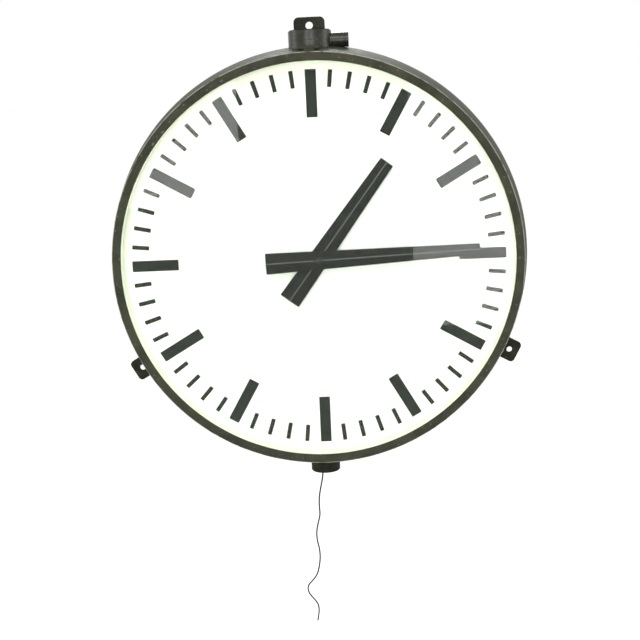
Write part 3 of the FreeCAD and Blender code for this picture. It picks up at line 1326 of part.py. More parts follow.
for thing in doc.Objects:
    if "Invalid" in thing.State or "Error" in thing.State:
        raise RuntimeError(f"{thing.Name} is {thing.State}")
for piece in pieces:
    if piece.Shape.isNull() or not piece.Shape.isValid():
        raise RuntimeError(f"{piece.Label} has no valid shape")
    if not piece.Shape.Solids:
        raise RuntimeError(f"{piece.Label} holds no solid")

os.makedirs("parts", exist_ok=True)
for piece in pieces:
    piece.Shape.exportStep(f"parts/{piece.Label}.step")
print(len(pieces), "pieces written")
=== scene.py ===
import math

import bpy
from mathutils import Matrix, Vector


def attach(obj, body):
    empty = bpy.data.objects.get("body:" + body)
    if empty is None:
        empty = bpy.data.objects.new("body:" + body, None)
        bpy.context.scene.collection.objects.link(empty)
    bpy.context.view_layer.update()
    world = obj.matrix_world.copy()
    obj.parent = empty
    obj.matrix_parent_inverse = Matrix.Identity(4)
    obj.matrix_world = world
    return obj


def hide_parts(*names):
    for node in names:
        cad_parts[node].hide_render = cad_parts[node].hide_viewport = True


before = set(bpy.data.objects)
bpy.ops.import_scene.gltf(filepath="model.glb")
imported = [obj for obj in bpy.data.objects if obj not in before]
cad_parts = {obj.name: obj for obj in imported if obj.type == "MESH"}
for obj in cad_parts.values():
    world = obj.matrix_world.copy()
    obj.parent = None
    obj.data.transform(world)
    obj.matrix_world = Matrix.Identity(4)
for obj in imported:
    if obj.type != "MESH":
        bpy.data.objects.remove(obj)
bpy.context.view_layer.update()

# A double sided station clock, hung from its lug in a white studio. Lengths are written in
# millimetres and turned to metres by MM. Right, left and up are as the front's viewer sees them from
# the clock's centre, radii are from its axis, and depths are in front of the middle of the case. The
# hanging hole, which is the origin, lies HANG_DROP above the centre.

MM = 0.001
HANG_DROP = 355.0
CENTRE = Vector((0, 0, -HANG_DROP * MM))
SIDES = ("front", "rear")

# Directions: to the right, towards the front's viewer, and up.
ALONG_X = Vector((1, 0, 0))
ALONG_Y = Vector((0, -1, 0))
ALONG_Z = Vector((0, 0, 1))

# Sizes that several pieces and finishes share.
SEAM_RADIUS = 325.0
RIM_RADIUS = 313.2
RIM_DEPTH = 76.2
SPLIT_DEPTH = 42.0
WALL = 3.0
OPENING = 300.0
LIP_BACK = 73.4
GLASS_FRONT = 72.2
GLASS_BACK = 68.2


# ---------------------------------------------------------------- camera

# The camera's place in metres, its turn in degrees, its lens and sensor in millimetres.
CAMERA_AT = Vector((0.0766, -2.0410, -0.1239))
CAMERA_TURN = (80.754, 2.494, 1.835)
LENS = 73.5
SENSOR = 36.0


def make_camera():
    """The photograph's viewing angle."""
    turn = [math.radians(angle) for angle in CAMERA_TURN]
    bpy.ops.object.camera_add(location=CAMERA_AT, rotation=turn)
    camera = bpy.context.object
    camera.data.lens = LENS
    camera.data.sensor_width = SENSOR
    bpy.context.scene.camera = camera


make_camera()


# ---------------------------------------------------------------- materials

def linear(hex_colour, alpha=1.0):
    """The linear colour of an sRGB hex value."""
    channels = [int(hex_colour[start:start + 2], 16) / 255 for start in (1, 3, 5)]
    low = [channel / 12.92 for channel in channels]
    high = [((channel + 0.055) / 1.055) ** 2.4 for channel in channels]
    mixed = [low[i] if channel <= 0.04045 else high[i] for i, channel in enumerate(channels)]
    return (*mixed, alpha)


def add_node(tree, kind, inputs=None, **settings):
    """One node with its settings, and each input a value or the socket that feeds it."""
    made = tree.nodes.new(kind)
    for key, value in settings.items():
        setattr(made, key, value)
    for key, value in (inputs or {}).items():
        if isinstance(value, bpy.types.NodeSocket):
            tree.links.new(value, made.inputs[key])
        else:
            made.inputs[key].default_value = value
    return made


def new_material(name):
    """An empty material, its tree and the object's own coordinates."""
    material = bpy.data.materials.new(name)
    material.use_nodes = True
    tree = material.node_tree
    tree.nodes.clear()
    place = add_node(tree, "ShaderNodeTexCoord").outputs["Object"]
    return material, tree, place


def surface(tree, **inputs):
    """The Principled surface of a material, joined to its output."""
    named = {key.replace("_", " "): value for key, value in inputs.items()}
    shader = add_node(tree, "ShaderNodeBsdfPrincipled", named)
    add_node(tree, "ShaderNodeOutputMaterial", {"Surface": shader.outputs[0]})
    return shader


def speckle(tree, place, grain_mm, detail=4.0, low=0.35, high=0.65):
    """Noise with a grain of that size, spread between 0 and 1."""
    noise = add_node(tree, "ShaderNodeTexNoise",
                     {"Vector": place, "Scale": 1 / (grain_mm * MM), "Detail": detail})
    spread = add_node(tree, "ShaderNodeMapRange",
                      {"Value": noise.outputs["Fac"], "From Min": low, "From Max": high})
    return spread.outputs["Result"]


def blend(tree, amount, first, second):
    """A colour between two, by an amount from 0 to 1."""
    mixed = add_node(tree, "ShaderNodeMix", {"Factor": amount}, data_type="RGBA")
    for index, colour in ((6, first), (7, second)):
        if isinstance(colour, str):
            mixed.inputs[index].default_value = linear(colour)
        else:
            tree.links.new(colour, mixed.inputs[index])
    return mixed.outputs[2]


def number(tree, operation, *values):
    """Arithmetic on values or sockets."""
    made = add_node(tree, "ShaderNodeMath", dict(enumerate(values)), operation=operation)
    return made.outputs[0]


def between(tree, value, start, end):
    """How far a value has come from start to end, from 0 to 1."""
    return add_node(tree, "ShaderNodeMapRange",
                    {"Value": value, "From Min": start, "From Max": end}).outputs["Result"]


def grain_bump(tree, height, depth_mm, strength=0.6):
    """A relief of that depth from a pattern's height."""
    bump = add_node(tree, "ShaderNodeBump",
                    {"Height": height, "Distance": depth_mm * MM, "Strength": strength})
    return bump.outputs["Normal"]


def radius_and_depth(tree, place):
    """Distance from the clock's axis and from the middle of the case, in metres."""
    centred = add_node(tree, "ShaderNodeMapping", {"Vector": place, "Location": -CENTRE})
    parts = add_node(tree, "ShaderNodeSeparateXYZ", {"Vector": centred.outputs["Vector"]}).outputs
    squares = [number(tree, "MULTIPLY", parts[axis], parts[axis]) for axis in ("X", "Z")]
    radius = number(tree, "SQRT", number(tree, "ADD", *squares))
    return radius, number(tree, "ABSOLUTE", parts["Y"])


# Stoved black enamel on sheet steel, decades old: semi-gloss, faded unevenly to olive and grey, and
# rubbed pale in spots.
# Along the door's front edge a pale line is painted: partly rubbed paint, partly painted highlight where
# the corner catches the light.
ENAMEL_DARK = "#35362d"
ENAMEL_FADED = "#4d4e40"
ENAMEL_DUST = "#5b5c50"
ENAMEL_WORN_AND_HIGHLIGHT = "#a9ab9b"
# The painted pale line of wear and highlight is this far back and in from the rim's corner where it
# starts and is full.
EDGE_WEAR_AND_HIGHLIGHT_START = 1.4
EDGE_WEAR_AND_HIGHLIGHT_FULL = 0.6


def stoved_enamel(name, rim_worn_and_highlit=False):
    material, tree, place = new_material(name)
    patches = speckle(tree, place, 38.0, detail=6.0, low=0.3, high=0.7)
    dust = speckle(tree, place, 2.2, detail=3.0, low=0.5, high=0.8)
    rubs = speckle(tree, place, 5.5, detail=8.0, low=0.64, high=0.72)
    colour = blend(tree, patches, ENAMEL_DARK, ENAMEL_FADED)
    colour = blend(tree, number(tree, "MULTIPLY", dust, 0.35), colour, ENAMEL_DUST)
    worn_and_highlit = number(tree, "MULTIPLY", rubs, 0.45)
    if rim_worn_and_highlit:
        # A pale line painted along the rim's front corner: rubbed paint, and painted highlight where the
        # corner catches the light.
        radius, depth = radius_and_depth(tree, place)
        outward = between(tree, radius, (RIM_RADIUS - EDGE_WEAR_AND_HIGHLIGHT_START) * MM, (RIM_RADIUS - EDGE_WEAR_AND_HIGHLIGHT_FULL) * MM)
        forward = between(tree, depth, (RIM_DEPTH - EDGE_WEAR_AND_HIGHLIGHT_START) * MM, (RIM_DEPTH - EDGE_WEAR_AND_HIGHLIGHT_FULL) * MM)
        on_edge = number(tree, "MULTIPLY", outward, forward)
        broken = speckle(tree, place, 9.0, detail=5.0, low=0.3, high=0.5)
        worn_and_highlit = number(tree, "MAXIMUM", worn_and_highlit, number(tree, "MULTIPLY", on_edge, broken))
    colour = blend(tree, worn_and_highlit, colour, ENAMEL_WORN_AND_HIGHLIGHT)
    fine = speckle(tree, place, 0.9, detail=2.0)
    roughness = add_node(tree, "ShaderNodeMapRange",
                         {"Value": patches, "To Min": 0.5, "To Max": 0.65}).outputs["Result"]
    surface(tree, Base_Color=colour, Roughness=roughness, Specular_IOR_Level=0.05,
            Normal=grain_bump(tree, fine, 0.06))
    return material


# Cast fittings under the same enamel, darker than the sheet: matt, or with a soft gleam where they
# are turned.
def fitting_enamel(name, roughness, sheen):
    material, tree, place = new_material(name)
    patches = speckle(tree, place, 16.0, detail=5.0)
    rubs = speckle(tree, place, 3.0, detail=7.0, low=0.62, high=0.7)
    colour = blend(tree, patches, "#23241c", "#38392e")
    colour = blend(tree, number(tree, "MULTIPLY", rubs, 0.4), colour, "#77786c")
    fine = speckle(tree, place, 1.2, detail=2.0)
    surface(tree, Base_Color=colour, Roughness=roughness, Specular_IOR_Level=sheen,
            Normal=grain_bump(tree, fine, 0.05))
    return material


# Opal acrylic sheet, satin: nearly white, turning faintly darker and yellow-green towards its rim.
EDGE_TINT_START = 270.0
EDGE_TINT_FULL = 310.0


def opal_acrylic():
    material, tree, place = new_material("opal_acrylic")
    radius, _ = radius_and_depth(tree, place)
    clouds = speckle(tree, place, 90.0, detail=2.0)
    colour = blend(tree, number(tree, "MULTIPLY", clouds, 0.4), "#f7f8f3", "#f3f5ea")
    edge = between(tree, radius, EDGE_TINT_START * MM, EDGE_TINT_FULL * MM)
    colour = blend(tree, edge, colour, "#eff1e0")
    surface(tree, Base_Color=colour, Roughness=0.45, IOR=1.49)
    return material


# Screen-printed black ink, matt, slightly green where it has aged.
def printed_ink():
    material, tree, place = new_material("printed_ink")
    clouds = speckle(tree, place, 12.0, detail=4.0)
    pores = speckle(tree, place, 0.8, detail=2.0)
    colour = blend(tree, clouds, "#1b1f1a", "#262b25")
    surface(tree, Base_Color=colour, Roughness=0.8, Specular_IOR_Level=0.1,
            Normal=grain_bump(tree, pores, 0.03))
    return material


# Folded aluminium sheet, sprayed matt black, with a pale grey highlight painted along the fold line where
# the ridge catches the light.
FOLD_HIGHLIGHT_EDGE = 1.0
FOLD_HIGHLIGHT_FULL = 0.3


def hand_paint(name, side, angle):
    """The finish of one hand, whose fold points that many degrees past twelve."""
    material, tree, place = new_material(name)
    turn = 0 if side == "front" else math.pi
    faced = add_node(tree, "ShaderNodeMapping", {"Vector": place, "Rotation": (0, 0, turn)})
    centred = add_node(tree, "ShaderNodeMapping",
                       {"Vector": faced.outputs["Vector"], "Location": (0, 0, -CENTRE.z)})
    upright = add_node(tree, "ShaderNodeMapping",
                       {"Vector": centred.outputs["Vector"], "Rotation": (0, -math.radians(angle), 0)})
    parts = add_node(tree, "ShaderNodeSeparateXYZ", {"Vector": upright.outputs["Vector"]}).outputs
    off_fold = number(tree, "ABSOLUTE", parts["X"])
    fold = between(tree, off_fold, FOLD_HIGHLIGHT_EDGE * MM, FOLD_HIGHLIGHT_FULL * MM)
    clouds = speckle(tree, place, 10.0, detail=5.0)
    flecks = speckle(tree, place, 1.4, detail=3.0, low=0.55, high=0.75)
    colour = blend(tree, clouds, "#0b0d0a", "#141712")
    colour = blend(tree, number(tree, "MULTIPLY", flecks, 0.25), colour, "#4a4f47")
    # A painted highlight: pale grey along the fold's ridge.
    colour = blend(tree, number(tree, "MULTIPLY", fold, 0.5), colour, "#8b8f86")
    surface(tree, Base_Color=colour, Roughness=0.65, Specular_IOR_Level=0.12,
            Normal=grain_bump(tree, flecks, 0.04))
    return material


# White stoved enamel on sheet, glossy and yellowed a little.
def white_enamel():
    material, tree, place = new_material("white_enamel")
    clouds = speckle(tree, place, 45.0, detail=3.0)
    colour = blend(tree, clouds, "#f2f3ea", "#e8ebd9")
    surface(tree, Base_Color=colour, Roughness=0.3)
    return material


# Float glass, clear and flat: it mirrors a little, and the lamps' rays pass straight through. An old
# film of dirt dulls it in places. Its index is low because the whole studio is white: at 1.5 the
# mirrored white would lift the black marks to grey.
GLASS_TINT = "#fafdf9"


def float_glass():
    material, tree, place = new_material("float_glass")
    film = speckle(tree, place, 60.0, detail=3.0)
    roughness = add_node(tree, "ShaderNodeMapRange",
                         {"Value": film, "To Min": 0.0, "To Max": 0.02}).outputs["Result"]
    pane = add_node(tree, "ShaderNodeBsdfPrincipled",
                    {"Base Color": linear(GLASS_TINT), "Roughness": roughness, "IOR": 1.25,
                     "Transmission Weight": 1.0})
    clear = add_node(tree, "ShaderNodeBsdfTransparent", {"Color": linear(GLASS_TINT)})
    path = add_node(tree, "ShaderNodeLightPath").outputs["Is Shadow Ray"]
    either = add_node(tree, "ShaderNodeMixShader", {0: path, 1: pane.outputs[0], 2: clear.outputs[0]})
    add_node(tree, "ShaderNodeOutputMaterial", {"Surface": either.outputs[0]})
    return material


# The relief of a mottled finish is this many times finer than its mottling.
FINE_SHARE = 6


def mottled(name, dark, pale, mottle_mm, roughness, metallic=0.0):
    """A finish of two tones mottled together, with a fine relief."""
    material, tree, place = new_material(name)
    colour = blend(tree, speckle(tree, place, mottle_mm), dark, pale)
    fine = speckle(tree, place, mottle_mm / FINE_SHARE, detail=2.0)
    surface(tree, Base_Color=colour, Roughness=roughness, Metallic=metallic, Specular_IOR_Level=0.2,
            Normal=grain_bump(tree, fine, 0.04, strength=0.4))
    return material


# Zinc-plated pressed and turned steel: pale grey metal with a dulled gleam.
def zinc_plate():
    return mottled("zinc_plate", "#8f9089", "#b2b2aa", mottle_mm=3.0, roughness=0.35, metallic=1.0)


# Rolled brass sheet and bar, unlacquered: yellow metal with brown patches of tarnish.
def rolled_brass():
    return mottled("rolled_brass", "#a9853f", "#c8a661", mottle_mm=6.0, roughness=0.32, metallic=1.0)


# Copper wire, wound and dipped in varnish: dark red-brown, half metal and half lacquer.
def varnished_copper():
    return mottled("varnished_copper", "#6b2f16", "#98502c", mottle_mm=1.0, roughness=0.35, metallic=0.6)


# Moulded rubber, aged: matt and nearly black.
def moulded_rubber():
    return mottled("moulded_rubber", "#151514", "#20201e", mottle_mm=4.0, roughness=0.75)


# Extruded soft PVC on the flex: nearly black, with a dull sheen along the round.
def pvc_flex():
    return mottled("pvc_flex", "#151614", "#24251f", mottle_mm=7.0, roughness=0.45)


# Drawn glass tube, coated inside with phosphor: chalk white under a smooth surface.
def phosphor_tube():
    return mottled("phosphor_tube", "#ecefe8", "#f7f8f4", mottle_mm=20.0, roughness=0.2)


# Dipped and stoved grey paint on the ballast's sheet steel: even and semi-gloss.
def ballast_paint():
    return mottled("ballast_paint", "#8d908b", "#a4a7a1", mottle_mm=9.0, roughness=0.4)


# Moulded nylon, yellowed to ivory: satin.
def terminal_nylon():
    return mottled("terminal_nylon", "#d8d3c0", "#e8e4d4", mottle_mm=8.0, roughness=0.45)


FINISH = {
    "zinc_plate": zinc_plate(),
    "rolled_brass": rolled_brass(),
    "varnished_copper": varnished_copper(),
    "moulded_rubber": moulded_rubber(),
    "pvc_flex": pvc_flex(),
    "phosphor_tube": phosphor_tube(),
    "ballast_paint": ballast_paint(),
    "terminal_nylon": terminal_nylon(),
    "case_enamel": stoved_enamel("case_enamel"),
    "door_enamel": stoved_enamel("door_enamel", rim_worn_and_highlit=True),
    "turned_enamel": fitting_enamel("turned_enamel", roughness=0.3, sheen=0.3),
    "matt_enamel": fitting_enamel("matt_enamel", roughness=0.55, sheen=0.06),
    "opal_acrylic": opal_acrylic(),
    "printed_ink": printed_ink(),
    "white_enamel": white_enamel(),
    "float_glass": float_glass(),
}


# ---------------------------------------------------------------- the free cord

# The route's points are (right, towards the rear, up) from the clock's centre.
CORD_RADIUS = 1.2
CORD_ROUTE = [
    (-9.4, 0.0, -346.6),
    (-9.4, 0.0, -355.4), (-13.6, -1.2, -373.2), (-17.0, -1.6, -389.8), (-17.7, -1.0, -406.4),
    (-16.8, 0.4, -421.4), (-20.8, 1.6, -435.0), (-24.2, 2.2, -450.6), (-23.6, 1.6, -465.2),
    (-20.2, 0.2, -479.0), (-19.7, -1.4, -493.6), (-22.0, -2.6, -508.2), (-25.8, -3.0, -521.6),
    (-34.0, -2.4, -531.6), (-42.4, -1.2, -540.6), (-41.6, 0.2, -552.8), (-34.2, 1.4, -563.0),
    (-26.2, 2.0, -573.6), (-25.4, 2.4, -588.4), (-28.8, 2.6, -602.6),
]


def make_cord():
    """Thin flex that hangs from the cap, ends cut off, and keeps the bends it was packed with."""
    curve = bpy.data.curves.new("supply_flex", "CURVE")
    curve.dimensions = "3D"
    spline = curve.splines.new("NURBS")
    spline.points.add(len(CORD_ROUTE) - 1)
    for point, route_point in zip(spline.points, CORD_ROUTE):
        point.co = (*(CENTRE + Vector(route_point) * MM), 1)
    spline.order_u = 3
    spline.use_endpoint_u = True
    spline.resolution_u = 12
    curve.bevel_depth = CORD_RADIUS * MM
    curve.bevel_resolution = 5
    curve.use_fill_caps = True
    cord = bpy.data.objects.new("supply_flex", curve)
    bpy.context.scene.collection.objects.link(cord)
    cord.data.materials.append(FINISH["pvc_flex"])
    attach(cord, "case")
    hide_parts("supply_cord")


make_cord()


# ---------------------------------------------------------------- ways of making a piece

# How near two points are merged, while an outline is drawn and when its mesh is closed.
DRAWN_TOGETHER = 0.001
CLOSED_TOGETHER = 0.005
# Faces that meet at less than this angle are shaded as one.
SMOOTH_BELOW = 35
# Turns of a rod that lies along X or along Y, and lengths of a cutter through one wall or through
# a plate or barrel.
SIDEWAYS = (0, math.pi / 2, 0)
FACING = (math.pi / 2, 0, 0)
SHORT_CUT = 12.0
LONG_CUT = 20.0


def spot(right, depth, up):
    """A place to the right of the clock's centre, in front of it and above it."""
    return CENTRE + Vector((right, -depth, up)) * MM


def on_face(radius_mm, degrees, depth_mm):
    """The place at a radius and depth, that many degrees past twelve."""
    turn = math.radians(degrees)
    return spot(radius_mm * math.sin(turn), depth_mm, radius_mm * math.cos(turn))


def about_centre(degrees):
    """A turn about the clock's axis, clockwise for the front's viewer."""
    turn = Matrix.Rotation(math.radians(degrees), 4, "Y")
    return Matrix.Translation(CENTRE) @ turn @ Matrix.Translation(-CENTRE)


def arc(centre, radius, start, end, steps=8):
    """Points of an arc, from start to end degrees anticlockwise from the right."""
    angles = [math.radians(start + (end - start) * step / steps) for step in range(steps + 1)]
    across, up = centre[0], centre[1]
    return [(across + radius * math.cos(angle), up + radius * math.sin(angle)) for angle in angles]


def start_mesh(kind, name, **place):
    """One primitive, alone in the selection."""
    bpy.ops.object.select_all(action="DESELECT")
    getattr(bpy.ops.mesh, f"primitive_{kind}_add")(**place)
    piece = bpy.context.object
    piece.name = name
    return piece


def draw_outline(name, points, closed=True):
    """An outline drawn from one vertex, point by point, and left open in edit mode."""
    piece = start_mesh("plane", name, size=MM)
    bpy.ops.object.mode_set(mode="EDIT")
    bpy.ops.mesh.select_mode(type="VERT")
    bpy.ops.mesh.merge(type="CENTER")
    bpy.ops.transform.translate(value=points[0])
    around = points[1:] + points[:1] if closed else points[1:]
    for before, after in zip(points, around):
        bpy.ops.mesh.extrude_region_move(TRANSFORM_OT_translate={"value": after - before})
    bpy.ops.mesh.select_all(action="SELECT")
    bpy.ops.mesh.remove_doubles(threshold=DRAWN_TOGETHER * MM)
    return piece


def close_up(piece):
    """Merges a mesh's doubles, turns its faces outwards and leaves edit mode."""
    bpy.ops.mesh.select_all(action="SELECT")
    bpy.ops.mesh.remove_doubles(threshold=CLOSED_TOGETHER * MM)
    bpy.ops.mesh.normals_make_consistent(inside=False)
    bpy.ops.object.mode_set(mode="OBJECT")
    return piece


def use_modifier(piece, kind, **settings):
    """Adds one modifier to a piece and applies it."""
    bpy.ops.object.select_all(action="DESELECT")
    piece.select_set(True)
    bpy.context.view_layer.objects.active = piece
    modifier = piece.modifiers.new(kind.lower(), kind)
    for key, value in settings.items():
        setattr(modifier, key, value)
    bpy.ops.object.modifier_apply(modifier=modifier.name)
    return piece


def soften(piece, width_mm, segments=3, sharper_than=30):
    """Rounds the edges that are sharper than an angle, shades the rest smooth and keeps flats flat."""
    use_modifier(piece, "BEVEL", width=width_mm * MM, segments=segments, limit_method="ANGLE",
                 angle_limit=math.radians(sharper_than))
    bpy.ops.object.shade_smooth_by_angle(angle=math.radians(SMOOTH_BELOW))
    return use_modifier(piece, "WEIGHTED_NORMAL", keep_sharp=True, weight=100)


def turned(name, outline, axis, centre=CENTRE, steps=64, closed=True):
    """A turned piece: (radius, along) points, spun round an axis. An outline that starts and ends on
    the axis may be left open."""
    across = ALONG_Z if abs(axis.z) < 0.5 else ALONG_X
    points = [centre + (across * radius + axis * along) * MM for radius, along in outline]
    piece = draw_outline(name, points, closed)
    bpy.ops.mesh.spin(steps=steps, angle=2 * math.pi, center=centre, axis=axis)
    return close_up(piece)


def plate(name, points, thickness_mm):
    """A flat plate from (right, up) points, as thick behind the case's middle as in front."""
    piece = draw_outline(name, [spot(right, -thickness_mm / 2, up) for right, up in points])
    bpy.ops.mesh.edge_face_add()
    bpy.ops.mesh.extrude_region_move(TRANSFORM_OT_translate={"value": ALONG_Y * thickness_mm * MM})
    return close_up(piece)


def cut(piece, cutter):
    """Takes a cutter's shape out of a piece."""
    use_modifier(piece, "BOOLEAN", object=cutter, operation="DIFFERENCE", solver="EXACT")
    bpy.data.objects.remove(cutter)
    return piece


def put_in_mesh(piece):
    """Moves a piece's place, turn and size from its object to its mesh."""
    bpy.ops.object.select_all(action="DESELECT")
    piece.select_set(True)
    bpy.context.view_layer.objects.active = piece
    bpy.ops.object.transform_apply(location=True, rotation=True, scale=True)
    return piece


def rod(name, radius_mm, length_mm, middle, turn=(0, 0, 0), sides=48):
    """A cylinder along Z unless turned, for a bore's cutter or to be worked further."""
    return start_mesh("cylinder", name, vertices=sides, radius=radius_mm * MM, depth=length_mm * MM,
                      location=middle, rotation=turn)


def block(name, size_mm, middle):
    """A cube stretched to size, for a cutter or to be worked further."""
    piece = start_mesh("cube", name, size=MM, location=middle)
    piece.scale = size_mm
    return put_in_mesh(piece)


def join(piece, *others):
    """Joins separate shapes into one piece."""
    bpy.ops.object.select_all(action="DESELECT")
    for other in others:
        other.select_set(True)
    piece.select_set(True)
    bpy.context.view_layer.objects.active = piece
    bpy.ops.object.join()
    return piece


def fit(piece, body, finish, slot, *nodes):
    """Gives a finished piece its material, and fastens it to its body in its nodes' place."""
    put_in_mesh(piece)
    piece.data.materials.clear()
    piece.data.materials.append(finish)
    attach(piece, body)
    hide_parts(*nodes)


def fit_both_sides(piece, body, finish, slot, node):
    """Fits a front piece, and its copy turned half round for the rear dial."""
    put_in_mesh(piece)
    rear = piece.copy()
    rear.data = piece.data.copy()
    rear.data.transform(Matrix.Rotation(math.pi, 4, "Z"))
    bpy.context.scene.collection.objects.link(rear)
    shape_name = piece.name
    for side, made in (("front", piece), ("rear", rear)):
        made.name = f"{side}_{shape_name}"
        paint = finish[side] if isinstance(finish, dict) else finish
        fit(made, f"{side}_{body}", paint, slot, f"{side}_{node}")


# ---------------------------------------------------------------- case and doors

RIM_STEPS = 240
CASE_ROUNDING = 0.9
DOOR_ROUNDING = 0.5
FITTING_ROUNDING = 0.3
# The dial's ledge, and the tongue that each door's screw goes into.
LEDGE_BACK = 33.0
LEDGE_FRONT = 36.0
LEDGE_RADIUS = 298.0
LATCH_DEPTH = 50.0
TONGUE_DEPTH = 49.0
TONGUE_DROP = 307.5
TONGUE_SIZE = (16.0, 14.0, 7.5)
TONGUE_HOLE = 2.5
TONGUE_ROUNDING = 0.5


def flank(depth):
    """Outer radius of the case at a depth."""
    return SEAM_RADIUS - (SEAM_RADIUS - RIM_RADIUS) * depth / RIM_DEPTH


def make_case_ring():
    """The rolled shell between the doors, with a ledge for each dial and a tongue for each latch."""
    inside = [(flank(SPLIT_DEPTH) - WALL, SPLIT_DEPTH), (flank(LEDGE_FRONT) - WALL, LEDGE_FRONT),
              (LEDGE_RADIUS, LEDGE_FRONT), (LEDGE_RADIUS, LEDGE_BACK),
              (flank(LEDGE_BACK) - WALL, LEDGE_BACK), (SEAM_RADIUS - WALL, 0)]
    half = [(flank(SPLIT_DEPTH), SPLIT_DEPTH)] + inside
    other_half = [(radius, -along) for radius, along in reversed(half)][1:]
    ring = turned("case_shell", half + other_half + [(SEAM_RADIUS, 0)], ALONG_Y, steps=RIM_STEPS)
    tongues = []
    for side in (1, -1):
        tongue = block("tongue", TONGUE_SIZE, spot(0, side * TONGUE_DEPTH, -TONGUE_DROP))
        hole = rod("hole", TONGUE_HOLE, SHORT_CUT, spot(0, side * LATCH_DEPTH, -TONGUE_DROP))
        tongues.append(soften(cut(tongue, hole), TONGUE_ROUNDING))
    soften(ring, CASE_ROUNDING)
    fit(join(ring, *tongues), "case", FINISH["case_enamel"], "case_paint", "case_ring")


LIP_DEPTH = 75.8
NOSE_RADIUS = 14.0
NOSE_STEPS = 10


def door_face():
    """The curve of the door's front face, from its opening out to the rim."""
    span = Vector((RIM_RADIUS - OPENING, RIM_DEPTH - LIP_DEPTH))
    rise = math.sqrt(NOSE_RADIUS ** 2 - (span.length / 2) ** 2)
    middle = Vector((OPENING, LIP_DEPTH)) + span / 2 + Vector((span.y, -span.x)).normalized() * rise
    first = math.degrees(math.atan2(LIP_DEPTH - middle.y, OPENING - middle.x))
    last = math.degrees(math.atan2(RIM_DEPTH - middle.y, RIM_RADIUS - middle.x))
    return arc(middle, NOSE_RADIUS, first, last, steps=NOSE_STEPS)


PIP_COUNT = 6
PIP_RADIUS = 308.3
PIP_DEPTH = 65.0
PIP_SIZE = (4.6, 4.0, 10.0)
PIP_ROUNDING = 0.4


def make_pip(step):
    """One of the pips inside the door that hold the white ring. The first is at three o'clock."""
    turn = 360 / PIP_COUNT * step
    pip = start_mesh("cube", "pip", size=MM, location=on_face(PIP_RADIUS, 90 - turn, PIP_DEPTH),
                     rotation=(0, math.radians(-turn), 0))
    pip.scale = PIP_SIZE
    return soften(put_in_mesh(pip), PIP_ROUNDING)


DOOR_GAP = 0.6
HINGE_DEPTH = 58.0
HINGE_UP = 319.8
BARREL_RADIUS = 3.0
KNUCKLE_LENGTH = 16.0
PIN_HOLE = 1.55
# The web that carries the knuckle, and the round boss that the latch screw's head sits on.
WEB_SIZE = (16.0, 4.8, 4.0)
WEB_DROP = 2.6
LATCH_BOSS_RADIUS = 6.0
LATCH_BOSS_HEIGHT = 1.9
LATCH_BOSS_RISE = 0.1


def make_door_ring():
    """The door: flank, curved front face and lip, with its hinge knuckle, latch boss and pips."""
    start = SPLIT_DEPTH + DOOR_GAP
    outline = [(flank(start), start), (flank(start) - WALL, start), (flank(LIP_BACK) - WALL, LIP_BACK),
               (OPENING, LIP_BACK)] + door_face()
    ring = soften(turned("door_ring", outline, ALONG_Y, steps=RIM_STEPS), DOOR_ROUNDING)

    hinge = spot(0, HINGE_DEPTH, HINGE_UP)
    knuckle = put_in_mesh(rod("knuckle", BARREL_RADIUS, KNUCKLE_LENGTH, hinge, SIDEWAYS, sides=32))
    web = block("web", WEB_SIZE, hinge - ALONG_Z * WEB_DROP * MM)
    boss_at = spot(0, LATCH_DEPTH, -(flank(LATCH_DEPTH) + LATCH_BOSS_RISE))
    boss = put_in_mesh(rod("boss", LATCH_BOSS_RADIUS, LATCH_BOSS_HEIGHT, boss_at))
    cut(knuckle, rod("pin_hole", PIN_HOLE, LONG_CUT, hinge, SIDEWAYS, sides=24))
    fittings = [soften(piece, FITTING_ROUNDING) for piece in (knuckle, web, boss)]
    fittings += [make_pip(step) for step in range(PIP_COUNT)]
    fit_both_sides(join(ring, *fittings), "door", FINISH["door_enamel"], "case_paint", "bezel")


GLASS_RADIUS = 309.0
GLASS_BEVEL = 0.5
GLASS_STEPS = 160


def make_cover_glass():
    """A flat pane with ground edges."""
    outline = [(0, GLASS_BACK), (GLASS_RADIUS, GLASS_BACK), (GLASS_RADIUS, GLASS_FRONT), (0, GLASS_FRONT)]
    pane = soften(turned("pane", outline, ALONG_Y, steps=GLASS_STEPS), GLASS_BEVEL, segments=2)
    fit_both_sides(pane, "door", FINISH["float_glass"], "cover_glass", "cover_glass")


REVEAL_RADIUS = 302.0
REVEAL_WALL = 1.2
REVEAL_BACK = 40.0
REVEAL_FLANGE = 311.3
REVEAL_ROUNDING = 0.25


def make_reveal_ring():
    """Sheet ring whose flange holds the glass and whose skirt reaches back to the dial."""
    outer = REVEAL_RADIUS + REVEAL_WALL
    flange_back = GLASS_BACK - REVEAL_WALL
    outline = [(REVEAL_RADIUS, REVEAL_BACK), (outer, REVEAL_BACK), (outer, flange_back),
               (REVEAL_FLANGE, flange_back), (REVEAL_FLANGE, GLASS_BACK), (REVEAL_RADIUS, GLASS_BACK)]
    ring = soften(turned("reveal", outline, ALONG_Y, steps=RIM_STEPS), REVEAL_ROUNDING, segments=2)
    fit_both_sides(ring, "door", FINISH["white_enamel"], "white_enamel", "reveal_ring")


GASKET_INNER = 301.5
GASKET_OUTER = 309.5


def make_gasket():
    """The flat rubber ring between the glass and the door's lip."""
    outline = [(GASKET_INNER, GLASS_FRONT), (GASKET_OUTER, GLASS_FRONT), (GASKET_OUTER, LIP_BACK),
               (GASKET_INNER, LIP_BACK)]
    ring = soften(turned("gasket", outline, ALONG_Y, steps=RIM_STEPS), FITTING_ROUNDING, segments=2)
    fit_both_sides(ring, "door", FINISH["moulded_rubber"], "rubber", "glass_gasket")


